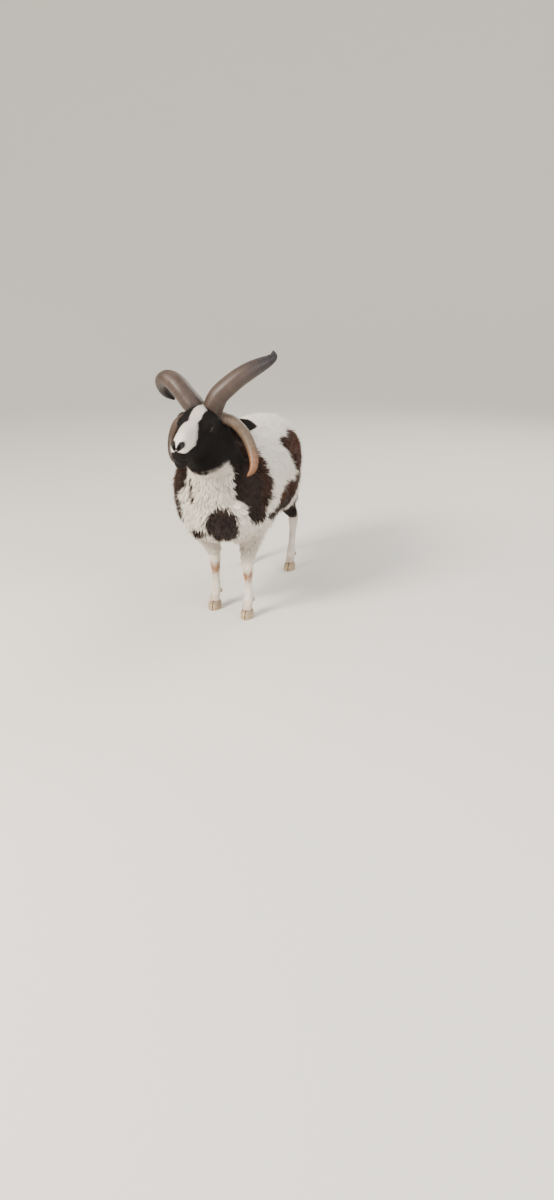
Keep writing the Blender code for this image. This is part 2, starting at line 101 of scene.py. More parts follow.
FORELEGS = (Region.LEG_FORE_LEFT, Region.LEG_FORE_RIGHT)
LEGS = (*FORELEGS, Region.LEG_HIND_LEFT, Region.LEG_HIND_RIGHT)
EARS = (Region.EAR_LEFT, Region.EAR_RIGHT)
FEET = {"fore_left": (0.100, -0.332), "fore_right": (-0.060, -0.261), "hind_left": (0.125, 0.303),
        "hind_right": (-0.095, 0.335)}
KNEE_BACK = 0.077


def linear(colour: str) -> tuple[float, float, float, float]:
    """Turn an sRGB hex colour into linear RGBA.

    Args:
        colour: Six hex digits, with or without a leading hash.

    Returns:
        Linear red, green, blue and an alpha of 1.
    """
    digits = colour.lstrip("#")
    values = [int(digits[i : i + 2], 16) / 255 for i in (0, 2, 4)]
    return (*(v / 12.92 if v <= 0.04045 else ((v + 0.055) / 1.055) ** 2.4 for v in values), 1.0)


def unit(vectors: Array) -> Array:
    """The vectors at length 1."""
    return vectors / np.maximum(np.linalg.norm(vectors, axis=-1, keepdims=True), 1e-12)


def ease(low: float, high: float, values: Array) -> Array:
    """Rise smoothly from 0 at low to 1 at high.

    Args:
        low: Where the rise starts.
        high: Where it ends. It may be under low, for a fall.
        values: Where to read it.

    Returns:
        Values from 0 to 1.
    """
    t = np.clip((values - low) / (high - low), 0.0, 1.0)
    return t * t * (3.0 - 2.0 * t)


def lattice_noise(points: Array, size: float, seed: int = 0, octaves: int = 1) -> Array:
    """Smooth noise in space.

    Args:
        points: Places, N by 3, in metres.
        size: The size of one swelling, in metres.
        seed: Picks one noise of many.
        octaves: How many finer layers are added.

    Returns:
        One value from about -1 to 1 for each point.
    """
    total = np.zeros(len(points))
    weight = 1.0
    for octave in range(octaves):
        scaled = points / size * 2.0**octave + 37.0 * seed + 101.0 * octave
        cell = np.floor(scaled).astype(np.int64)
        part = scaled - cell
        part = part * part * (3.0 - 2.0 * part)
        for corner in range(8):
            bits = np.array(((corner >> 2) & 1, (corner >> 1) & 1, corner & 1))
            share = np.prod(np.where(bits, part, 1.0 - part), axis=1)
            at = cell + bits
            mixed = np.bitwise_xor.reduce(at * LATTICE_PRIMES, axis=1) ^ (seed * SEED_PRIME)
            mixed = (mixed ^ (mixed >> 13)) * STIR_PRIME
            total += weight * share * (((mixed ^ (mixed >> 16)) & 0xFFFF) / 32767.5 - 1.0)
        weight *= 0.5
    return total / (2.0 - 2.0 * 0.5**octaves)


def smooth_line(knots: Array, at: Array) -> Array:
    """Read a smooth line through its knots.

    Args:
        knots: One row for each knot, with a spare one before the start and two after the last place read.
        at: Where to read it: 0 is the second knot, and each next knot is 1 further.

    Returns:
        One row for each place.
    """
    k = at.astype(int)
    t = (at - k)[:, None]
    a, b, c, d = (knots[k + n] for n in range(4))
    return 0.5 * (2 * b + (c - a) * t + (2 * a - 5 * b + 4 * c - d) * t**2 + (3 * b - a - 3 * c + d) * t**3)


def new_object(name: str, data: bpy.types.ID) -> bpy.types.Object:
    """Put a new object in the scene.

    Args:
        name: Its name.
        data: The mesh, light or camera that it holds.

    Returns:
        The object.
    """
    obj = bpy.data.objects.new(name, data)
    bpy.context.scene.collection.objects.link(obj)
    return obj


def evaluated_mesh(obj: bpy.types.Object) -> bpy.types.Mesh:
    """Apply an object's modifiers.

    Args:
        obj: The object, which is removed afterwards.

    Returns:
        Its mesh with every modifier applied.
    """
    bpy.context.view_layer.update()
    graph = bpy.context.evaluated_depsgraph_get()
    mesh = bpy.data.meshes.new_from_object(obj.evaluated_get(graph))
    bpy.data.objects.remove(obj)
    return mesh


def read_rows(items: bpy.types.bpy_prop_collection, name: str, width: int, kind: type = np.float32) -> Array:
    """Read one property of every item of a mesh.

    Args:
        items: The mesh's vertices, edges or corners.
        name: The property.
        width: How many numbers each item has.
        kind: The type that Blender keeps them in.

    Returns:
        One row for each item.
    """
    flat = np.empty(len(items) * width, dtype=kind)
    items.foreach_get(name, flat)
    return flat.reshape(-1, width)


def mesh_points(mesh: bpy.types.Mesh) -> Array:
    """The mesh's vertices as an N by 3 array."""
    return read_rows(mesh.vertices, "co", 3).astype(np.float64)


def mesh_normals(mesh: bpy.types.Mesh) -> Array:
    """The mesh's vertex normals as an N by 3 array."""
    return read_rows(mesh.vertex_normals, "vector", 3).astype(np.float64)


def mesh_triangles(mesh: bpy.types.Mesh) -> Array:
    """The vertex numbers of a mesh of triangles, M by 3."""
    return read_rows(mesh.loops, "vertex_index", 1, np.int32).reshape(-1, 3)


def set_points(mesh: bpy.types.Mesh, points: Array) -> None:
    """Move the mesh's vertices to these points."""
    mesh.vertices.foreach_set("co", points.astype(np.float32).ravel())
    mesh.update()


def triangle_mesh(name: str, points: Array, triangles: Array) -> bpy.types.Mesh:
    """Build a smooth-shaded mesh of triangles.

    Args:
        name: The mesh's name.
        points: Vertices, N by 3.
        triangles: Vertex numbers, M by 3.

    Returns:
        The new mesh.
    """
    mesh = bpy.data.meshes.new(name)
    mesh.vertices.add(len(points))
    mesh.vertices.foreach_set("co", points.astype(np.float32).ravel())
    mesh.loops.add(triangles.size)
    mesh.loops.foreach_set("vertex_index", triangles.astype(np.int32).ravel())
    mesh.polygons.add(len(triangles))
    mesh.polygons.foreach_set("loop_start", np.arange(0, triangles.size, 3, dtype=np.int32))
    mesh.polygons.foreach_set("use_smooth", np.ones(len(triangles), dtype=bool))
    mesh.update(calc_edges=True)
    return mesh


def paint(mesh: bpy.types.Mesh, name: str, values: Array) -> None:
    """Store one RGBA value per vertex.

    Args:
        mesh: The mesh that takes it.
        name: The attribute's name, which a material reads.
        values: N by 4.
    """
    layer = mesh.attributes.new(name, "FLOAT_COLOR", "POINT")
    layer.data.foreach_set("color", values.astype(np.float32).ravel())


def dress(obj: bpy.types.Object, finish: bpy.types.Material, slot: str, *nodes: str) -> None:
    """Finish a piece and tie it to the body.

    Args:
        obj: The piece.
        finish: Its material.
        slot: The record's slot that it is finished by. Not used.
        nodes: The nodes that it stands for, if any.
    """
    obj.data.materials.append(finish)
    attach(obj, BODY)
    if nodes:
        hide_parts(*nodes)
    LOG.info("%s: %d triangles", obj.name, len(obj.data.polygons))


def ring_quads(rings: int, sides: int) -> Array:
    """Join rings of points by quads.

    Args:
        rings: How many rings.
        sides: How many points in each.

    Returns:
        Vertex numbers, M by 4.
    """
    k = np.arange(rings - 1)[:, None] * sides
    a, b = np.arange(sides)[None], (np.arange(sides)[None] + 1) % sides
    return np.stack((k + a, k + b, k + b + sides, k + a + sides), axis=2).reshape(-1, 4)


@dataclass
class Spread:
    """Averages values over a mesh's neighbours."""

    edges: Array
    count: int
    degree: Array = field(init=False)

    def __post_init__(self) -> None:
        """Count each vertex's neighbours."""
        self.degree = np.maximum(np.bincount(self.edges.ravel(), minlength=self.count), 1)

    def step(self, values: Array) -> Array:
        """Average each vertex's neighbours.

        Args:
            values: One row for each vertex.

        Returns:
            The means.
        """
        a, b = self.edges.T
        columns = values.reshape(self.count, -1)
        mean = np.empty_like(columns)
        for k in range(columns.shape[1]):
            column = columns[:, k]
            total = np.bincount(a, weights=column[b], minlength=self.count)
            mean[:, k] = (total + np.bincount(b, weights=column[a], minlength=self.count)) / self.degree
        return mean.reshape(values.shape)

    def soften(self, values: Array, rounds: int, share: Array | float = 0.5) -> Array:
        """Blend values with their neighbours' mean.

        Args:
            values: One row for each vertex.
            rounds: How many times.
            share: How far each goes to the mean in one round, one number or one for each vertex.

        Returns:
            The softened values.
        """
        if isinstance(share, np.ndarray) and values.ndim > 1:
            share = share[:, None]
        for _ in range(rounds):
            values = values + share * (self.step(values) - values)
        return values


@dataclass
class HeadAxes:
    """The head's own axes: the poll at the origin, the nose along -Y, its left along +X."""

    matrix: Matrix = field(init=False)
    turn: Array = field(init=False)
    origin: Array = field(init=False)

    def __post_init__(self) -> None:
        """Work out the head's place from its pitch, turn and tilt."""
        self.matrix = (
            Matrix.Translation(POLL)
            @ Matrix.Rotation(math.radians(-HEAD_TURN), 4, "Z")
            @ Matrix.Rotation(math.radians(HEAD_PITCH), 4, "X")
            @ Matrix.Rotation(math.radians(HEAD_TILT), 4, "Y")
        )
        self.turn = np.array(self.matrix.to_3x3())
        self.origin = np.array(POLL)

    def inward(self, points: Array) -> Array:
        """Points from the row frame to the head's axes."""
        return (points - self.origin) @ self.turn

    def outward(self, points: Array) -> Array:
        """Points from the head's axes to the row frame."""
        return points @ self.turn.T + self.origin

    def direction(self, vectors: Array) -> Array:
        """Directions from the head's axes to the row frame."""
        return vectors @ self.turn.T


HEAD = HeadAxes()
EYE_CENTRE = (0.0580, -0.1040, -0.036)
EYE_RADIUS = 0.0135
NOSTRIL = (
    (0.0070, -0.273, -0.031), (0.0125, -0.273, -0.024), (0.0190, -0.268, -0.016), (0.0235, -0.259, -0.013)
)
NOSE_SPOT = (0.0158, -0.267, -0.0205)
NOSE_ACROSS = (1.0, 0.45, 1.0)
MOUTH_AHEAD = (0.195, 0.232, 0.260, 0.270)
MOUTH_LEVEL = (-0.098, -0.091, -0.085, -0.082)


def line_distance(points: Array, path: Array) -> tuple[Array, Array]:
    """Measure how far points are from a broken line.

    Args:
        points: N by 3.
        path: The line's corners, M by 3.

    Returns:
        The distance of each point, and how far along the line its nearest place is, from 0 to 1.
    """
    best = np.full(len(points), np.inf)
    along = np.zeros(len(points))
    for k in range(len(path) - 1):
        start, run = path[k], path[k + 1] - path[k]
        t = np.clip(((points - start) @ run) / (run @ run), 0.0, 1.0)
        distance = np.linalg.norm(points - start - t[:, None] * run, axis=1)
        closer = distance < best
        best = np.where(closer, distance, best)
        along = np.where(closer, (k + t) / (len(path) - 1), along)
    return best, along


def mirrored(local: Array) -> Array:
    """Points in the head's own axes, with the right half turned over onto the left."""
    return np.column_stack((np.abs(local[:, 0]), local[:, 1:]))


def nose_distance(local: Array) -> Array:
    """How far points in the head's own axes are from the middle of the nearer nostril, across the nose."""
    return np.linalg.norm((mirrored(local) - np.array(NOSE_SPOT)) * NOSE_ACROSS, axis=1)


def over_mouth(local: Array) -> tuple[Array, Array]:
    """Read points in the head's own axes from the mouth's line, which runs level round the muzzle.

    Args:
        local: N by 3.

    Returns:
        How high each is over the line, and how far it is from the line.
    """
    high = local[:, 2] - np.interp(-local[:, 1], MOUTH_AHEAD, MOUTH_LEVEL)
    return high, np.hypot(high, np.maximum(local[:, 1] + MOUTH_AHEAD[0], 0.0))


@dataclass(frozen=True)
class Patch:
    """One dark patch of the fleece: an egg shape, with its middle and its three half-lengths in metres."""

    middle: tuple[float, float, float]
    half: tuple[float, float, float]
    rough: float = 0.16

    def reach(self, points: Array) -> Array:
        """How far out each point is: under 1 inside the egg shape, 1 on its edge."""
        return np.linalg.norm((points - np.array(self.middle)) / np.array(self.half), axis=1)


@dataclass(frozen=True)
class Panel:
    """A dark panel over one side of the neck and shoulder, in metres.

    Its inner edge is given by how far it is from the middle at some heights, and its rear edge by how far
    back it is. Nothing under low is dark.
    """

    side: int
    low: float
    heights: tuple[float, ...]
    inner: tuple[float, ...]
    rear_heights: tuple[float, ...]
    rear: tuple[float, ...]
    soft: float = 0.010
    ragged: tuple[float, float, float] = (0.012, 0.020, 0.015)

    def dark(self, points: Array, ragged: Array) -> Array:
        """Darkness from 0 to 1.

        Args:
            points: N by 3, in the row frame.
            ragged: Noise at each, which roughens the edges.

        Returns:
            1 inside the panel.
        """
        x, y, z = points.T
        soft = self.soft
        inner = np.interp(z, self.heights, self.inner)
        rear = np.interp(z, self.rear_heights, self.rear)
        front = ease(-soft, soft, self.side * x - inner + self.ragged[0] * ragged)
        back = ease(soft, -soft, y - rear + self.ragged[1] * ragged)
        return front * back * ease(-soft, soft, z - self.low + self.ragged[2] * ragged)


@dataclass(frozen=True)
class Markings:
    """Where the ram is dark and where it is white or tan. Skin and coat both read it."""

    patches: tuple[Patch, ...] = (
        Patch((0.025, -0.200, 0.800), (0.110, 0.115, 0.095)),
        Patch((0.230, -0.010, 0.452), (0.080, 0.150, 0.068)),
        Patch((0.215, -0.110, 0.412), (0.080, 0.120, 0.036)),
        Patch((0.225, 0.120, 0.440), (0.090, 0.185, 0.082)),
        Patch((0.205, 0.215, 0.600), (0.100, 0.175, 0.090)),
        Patch((0.190, 0.105, 0.656), (0.050, 0.075, 0.026)),
        Patch((0.152, 0.385, 0.300), (0.050, 0.055, 0.075)),
        Patch((0.060, -0.400, 0.402), (0.068, 0.110, 0.076), 0.08),
        Patch((-0.052, -0.385, 0.362), (0.046, 0.050, 0.023)),
        Patch((-0.073, -0.385, 0.532), (0.012, 0.050, 0.046)),
        Patch((-0.190, 0.050, 0.515), (0.100, 0.130, 0.110), 0.30),
        Patch((-0.140, 0.310, 0.605), (0.110, 0.150, 0.090), 0.30),
        Patch((-0.175, 0.165, 0.415), (0.080, 0.115, 0.048), 0.30),
    )
    panels: tuple[Panel, ...] = (
        Panel(
            side=1,
            low=0.388,
            heights=(0.390, 0.427, 0.452, 0.479, 0.495, 0.512, 0.572, 0.617, 0.634, 0.656, 0.700, 0.800),
            inner=(0.180, 0.168, 0.148, 0.144, 0.122, 0.094, 0.102, 0.097, 0.085, 0.072, 0.055, 0.030),
            rear_heights=(0.400, 0.411, 0.448, 0.487, 0.519, 0.561, 0.584, 0.617, 0.650, 0.700, 0.800),
            rear=(-0.305, -0.262, -0.264, -0.256, -0.243, -0.237, -0.252, -0.250, -0.228, -0.180, -0.180),
        ),
        Panel(
            side=-1,
            low=0.405,
            heights=(0.434, 0.501, 0.532, 0.569, 0.602, 0.660, 0.800),
            inner=(0.118, 0.131, 0.123, 0.090, 0.084, 0.060, 0.030),
            rear_heights=(0.40, 0.60, 0.80),
            rear=(-0.220, -0.200, -0.215),
        ),
    )
    blaze_ahead: tuple[float, ...] = (
        0.000, 0.040, 0.062, 0.072, 0.087, 0.111, 0.140, 0.151, 0.168, 0.190, 0.215, 0.240
    )
    blaze_left: tuple[float, ...] = (
        0.003, 0.016, 0.032, 0.031, 0.029, 0.031, 0.030, 0.034, 0.037, 0.039, 0.044, 0.060
    )
    blaze_right: tuple[float, ...] = (
        0.006, 0.012, 0.014, 0.014, 0.014, 0.012, 0.003, 0.001, 0.014, 0.027, 0.040, 0.060
    )
    low_ahead: tuple[float, ...] = (0.16, 0.19, 0.22, 0.28)
    low: tuple[float, ...] = (-0.030, -0.060, -0.058, -0.046)
    edge: float = 0.10
    hood: Patch = Patch((0.0, -0.085, -0.073), (0.160, 0.220, 0.133))
    horn_tuft: Patch = Patch((0.064, -0.012, -0.026), (0.012, 0.014, 0.014))
    ear_dark: float = 0.97
    white_leg: float = 0.24
    knee_height: float = 0.168
    knee_half: float = 0.026
    foot_height: float = 0.045
    foot_half: float = 0.018
    chest_middle: tuple[float, float, float] = (0.01, -0.42, 0.53)
    chest_half: float = 0.12

    def fleece(self, points: Array) -> Array:
        """How dark the fleece is.

        Args:
            points: N by 3, in the row frame.

        Returns:
            Darkness from 0 to 1.
        """
        ragged = lattice_noise(points, 0.045, 3, 3) + 0.8 * lattice_noise(points, 0.120, 4)
        dark = np.zeros(len(points))
        for patch in self.patches:
            over = patch.reach(points) - 1.0 + patch.rough * ragged
            dark = np.maximum(dark, ease(self.edge, -self.edge, over))
        for panel in self.panels:
            dark = np.maximum(dark, panel.dark(points, ragged))
        return dark

    def face(self, points: Array) -> Array:
        """How dark the face is: black but for the blaze and the tuft beside the horn.

        Args:
            points: N by 3, in the head's own axes.

        Returns:
            Darkness from 0 to 1.
        """
        x, y, z = points.T
        ahead = -y
        ragged = 0.004 * lattice_noise(points, 0.012, 5, 2)
        dark = ease(1.06, 0.97, self.hood.reach(points) + 8 * ragged)
        left = np.interp(ahead, self.blaze_ahead, self.blaze_left)
        right = np.interp(ahead, self.blaze_ahead, self.blaze_right)
        across = np.where(x > 0, x - left, -x - right)
        low = np.interp(ahead, self.low_ahead, self.low)
        blaze = ease(0.0022, -0.0022, across + ragged * 0.8) * ease(-0.003, 0.003, z - low + ragged)
        blaze *= ease(-0.012, 0.004, ahead)
        tuft = ease(1.2, 0.8, self.horn_tuft.reach(points))
        nostril = ease(0.0148, 0.0134, nose_distance(points))
        lip = ease(0.0175, 0.0155, np.abs(x)) * ease(-0.0255, -0.0285, z) * ease(0.245, 0.255, ahead)
        return np.maximum(dark * (1.0 - np.maximum(blaze, tuft)), np.maximum(nostril, lip))

    def behind_cheek(self, local: Array) -> Array:
        """How far the fleece's own markings hold on the head, in the head's own axes."""
        under = ease(-0.135, -0.105, local[:, 1]) * ease(-0.060, -0.090, local[:, 2])
        return np.maximum(under, ease(-0.005, 0.012, local[:, 1]))

    def darkness(self, points: Array, regions: Array) -> Array:
        """Darkness from 0 to 1 at each point.

        Args:
            points: N by 3, in the row frame.
            regions: One Region number for each point.

        Returns:
            0 for white wool and 1 for black.
        """
        dark = self.fleece(points)
        local = HEAD.inward(points)
        near_head = np.isin(regions, (Region.HEAD, Region.NECK))
        face = np.where(near_head, self.face(local), 0.0)
        on_head = np.maximum(face, dark * self.behind_cheek(local))
        dark = np.where(regions == Region.HEAD, on_head, np.maximum(dark, face))
        dark = np.where(np.isin(regions, EARS), self.ear_dark, dark)
        low_leg = np.isin(regions, LEGS) & (points[:, 2] < self.white_leg)
        dark = np.where(low_leg, 0.0, dark)
        return np.where(np.isin(regions, (Region.TAIL, Region.SCROTUM)), 0.0, dark)

    def tan(self, points: Array, regions: Array) -> Array:
        """How far the white is stained to tan, most at the knees and over the feet.

        Args:
            points: N by 3, in the row frame.
            regions: One Region number for each point.

        Returns:
            Stain from 0 to 1.
        """
        x, y, z = points.T
        speckle = 0.35 * lattice_noise(points, 0.025, 9, 2)
        fore = np.isin(regions, FORELEGS)
        shank = np.where(x > MIDLINE, FEET["fore_left"][1], FEET["fore_right"][1]) + KNEE_BACK
        ahead = ease(0.012, -0.012, y - shank)
        knee_line = self.knee_height - 0.012 * lattice_noise(points, 0.02, 17)
        knee = np.exp(-(((z - knee_line) / self.knee_half) ** 2)) * ahead * fore
        foot = np.exp(-(((z - self.foot_height) / self.foot_half) ** 2))
        tan = np.isin(regions, LEGS) * np.clip(0.95 * knee + 0.35 * foot, 0, 1)
        belly = 0.16 * ease(0.40, 0.30, z) * ease(0.20, 0.28, z)
        elbow = 0.10 * fore * ease(0.24, 0.33, z)
        from_chest = np.linalg.norm(points - np.array(self.chest_middle), axis=1)
        chest = 0.16 * np.exp(-((from_chest / self.chest_half) ** 2))
        return np.clip(np.maximum(tan, belly + elbow + chest) + speckle * (0.12 + 1.6 * tan), 0.0, 1.0)

    def rust(self, points: Array) -> Array:
        """How far the black is bleached to rust, most on the shoulders and flanks.

        Args:
            points: N by 3, in the row frame.

        Returns:
            Rust from 0 to 1.
        """
        _, y, z = points.T
        sides = ease(-0.34, -0.25, y) * ease(0.40, 0.48, z) * ease(0.76, 0.62, z)
        return np.clip(0.12 + sides * (0.50 + 0.75 * lattice_noise(points, 0.045, 13, 2)), 0.0, 1.0)


MARKINGS = Markings()


@dataclass
class EyeAxes:
    """One eye's own axes: outward, forward along the slit between the lids, and up across it."""

    side: int
    centre: Array = field(init=False)
    out: Array = field(init=False)
    fore: Array = field(init=False)
    above: Array = field(init=False)

    def __post_init__(self) -> None:
        """Place the axes in the head's own axes."""
        self.centre = np.array(EYE_CENTRE) * (self.side, 1, 1)
        self.out = unit(np.array((0.90 * self.side, -0.40, 0.10)))
        fore = np.array((0.0, -0.94, -0.34))
        self.fore = unit(fore - (fore @ self.out) * self.out)
        self.above = np.cross(self.out, self.fore) * self.side
        self.above = self.above * np.sign(self.above[2])

    def angles(self, local: Array) -> tuple[Array, Array, Array]:
        """Read points round the eyeball.

        Args:
            local: N by 3, in the head's own axes.

        Returns:
            Angle forward, angle up, both in radians, and the distance from the eyeball's centre.
        """
        reach = local - self.centre
        ahead = reach @ self.out
        fore = np.arctan2(reach @ self.fore, ahead)
        above = np.arctan2(reach @ self.above, ahead)
        return fore, above, np.linalg.norm(reach, axis=1)

    def place(self, fore: Array, above: Array, radius: Array) -> Array:
        """Turn angles and distances back into points, the opposite of angles.

        Args:
            fore: The angle forward, in radians.
            above: The angle up.
            radius: The distance from the eyeball's centre, in metres.

        Returns:
            Points in the head's own axes, N by 3.
        """
        across, up = np.tan(fore), np.tan(above)
        rays = self.out + across[:, None] * self.fore + up[:, None] * self.above
        return self.centre + unit(rays) * radius[:, None]


EYE_AXES = (EyeAxes(1), EyeAxes(-1))


@dataclass(frozen=True)
class Lids:
    """The opening between the lids, in degrees on the eyeball, and the rims round it, in metres."""

    half_slit: float = 64.0
    upper: float = 33.0
    lower: float = 25.0
    hidden: float = 0.0112
    rim: float = 0.0008
    roll: float = 0.0022

    def level(self, fore: Array, above: Array) -> Array:
        """Under 0 in the opening, 0 on the rim and over 0 beyond it."""
        high = np.radians(np.where(above > 0, self.upper, self.lower))
        return (fore / math.radians(self.half_slit)) ** 2 + (above / high) ** 2 - 1.0


LIDS = Lids()


@dataclass(frozen=True)
class Groove:
    """A line drawn in or raised on the face, with mirrored twins, in the head's own axes."""

    path: tuple[tuple[float, float, float], ...]
    depth: float
    width: float
    twins: bool = True

    def shift(self, local: Array, inward: Array) -> Array:
        """How each point moves for this groove.

        Args:
            local: N by 3, in the head's own axes.
            inward: The direction into the head at each point.

        Returns:
            Moves, N by 3.
        """
        move = np.zeros_like(local)
        for side in (1, -1) if self.twins else (1,):
            distance, _ = line_distance(local, np.array(self.path) * (side, 1, 1))
            move += inward * (self.depth * np.exp(-((distance / self.width) ** 2)))[:, None]
        return move


FACE_LINES = (
    Groove(NOSTRIL, 0.0130, 0.0040),
    Groove(((0.026, -0.262, -0.030), (0.028, -0.252, -0.018), (0.018, -0.262, -0.008)), -0.0022, 0.0052),
    Groove(((0.0, -0.276, -0.036), (0.0, -0.268, -0.078)), 0.0022, 0.0019, twins=False),
    Groove(((0.0, -0.262, -0.100), (0.016, -0.250, -0.102)), -0.0070, 0.0150),
    Groove(((0.050, -0.078, -0.004), (0.060, -0.050, -0.014), (0.066, -0.020, -0.040)), -0.0042, 0.0150),
    Groove(((0.062, -0.124, -0.044), (0.056, -0.137, -0.055), (0.050, -0.150, -0.064)), 0.0024, 0.0034),
    Groove(((0.060, -0.072, -0.014), (0.062, -0.092, -0.008), (0.056, -0.118, -0.010)), -0.0020, 0.0080),
    Groove(((0.056, -0.128, -0.072), (0.048, -0.160, -0.080), (0.040, -0.190, -0.078)), -0.0018, 0.0090),
    Groove(((0.030, -0.215, -0.036), (0.030, -0.190, -0.044), (0.036, -0.165, -0.058)), 0.0014, 0.0070),
)


@dataclass
class Ground:
    """The skin's dense form as arrays, which the coat grows from."""

    points: Array
    outer: Array
    normals: Array
    depth: Array
    regions: Array
    flow: Array
    triangles: Array
    bare: Array
    hollow: Array


@dataclass
class HornSize:
    """One horn's line and girth, in the head's own axes and in metres."""

    name: str
    path: tuple[tuple[float, float, float], ...]
    girth: tuple[float, ...]
    rings: int
    sides: int
    ring_height: float
    ring_pitch: float
    oval: float = 0.90
    tip_radius: float = 0.0008
    coarse: int = 24

    def stations(self, steps: int) -> tuple[Array, Array]:
        """Read the line smoothly.

        Args:
            steps: How many stations.

        Returns:
            Their centres, N by 3, and their radii.
        """
        knots = np.column_stack((np.array(self.path), np.array(self.girth)))
        knots = np.vstack((2 * knots[0] - knots[1], knots, 2 * knots[-1] - knots[-2]))
        curve = smooth_line(knots, np.linspace(0.0, len(self.path) - 1 - 1e-9, steps))
        return curve[:, :3], np.maximum(curve[:, 3], self.tip_radius)

    def nearest(self, local: Array) -> tuple[Array, Array, Array, Array]:
        """Find the place on the horn's middle line that is nearest to each point.

        Args:
            local: N by 3, in the head's own axes.

        Returns:
            Its distance, how far along the horn it is from 0 to 1, the horn's radius there, and the place.
        """
        centres, radii = self.stations(self.coarse)
        distance, along = line_distance(local, centres)
        at = np.linspace(0, 1, self.coarse)
        place = np.column_stack([np.interp(along, at, column) for column in centres.T])
        return distance, along, np.interp(along, at, radii), place


UPPER = {
    "girth": (0.0400, 0.0425, 0.0415, 0.0400, 0.0385, 0.0350, 0.0290, 0.0225, 0.0175, 0.0050),
    "rings": 400, "sides": 44, "ring_height": 0.00085, "ring_pitch": 0.0052,
}
LOWER = {
    "girth": (0.0230, 0.0235, 0.0235, 0.0230, 0.0210, 0.0180, 0.0135, 0.0040),
    "rings": 320, "sides": 34, "ring_height": 0.00055, "ring_pitch": 0.0044,
}
HORNS = (
    HornSize(
        "horn_upper_left",
        (
            (0.016, -0.006, -0.045), (0.034, 0.000, 0.000), (0.054, 0.010, 0.040), (0.084, 0.029, 0.069),
            (0.119, 0.059, 0.095), (0.156, 0.092, 0.114), (0.187, 0.122, 0.125), (0.208, 0.146, 0.132),
            (0.219, 0.160, 0.143), (0.217, 0.168, 0.162),
        ),
        **UPPER,
    ),
    HornSize(
        "horn_upper_right",
        (
            (-0.022, -0.006, -0.048), (-0.044, 0.000, -0.008), (-0.066, 0.006, 0.014), (-0.090, 0.014, 0.038),
            (-0.123, 0.030, 0.060), (-0.162, 0.050, 0.066), (-0.196, 0.070, 0.046), (-0.214, 0.092, 0.010),
            (-0.210, 0.112, -0.030), (-0.184, 0.128, -0.062),
        ),
        **UPPER,
    ),
    HornSize(
        "horn_lower_left",
        (
            (0.030, 0.006, -0.046), (0.064, 0.012, -0.052), (0.105, 0.016, -0.067), (0.146, 0.008, -0.104),
            (0.178, -0.018, -0.142), (0.198, -0.050, -0.175), (0.201, -0.077, -0.200),
            (0.187, -0.100, -0.217),
        ),
        **LOWER,
    ),
    HornSize(
        "horn_lower_right",
        (
            (-0.030, 0.006, -0.052), (-0.066, 0.014, -0.062), (-0.100, 0.016, -0.078),
            (-0.130, 0.012, -0.104), (-0.146, -0.002, -0.145), (-0.146, -0.028, -0.184),
            (-0.132, -0.054, -0.210), (-0.108, -0.076, -0.222),
        ),
        **LOWER,
    ),
)


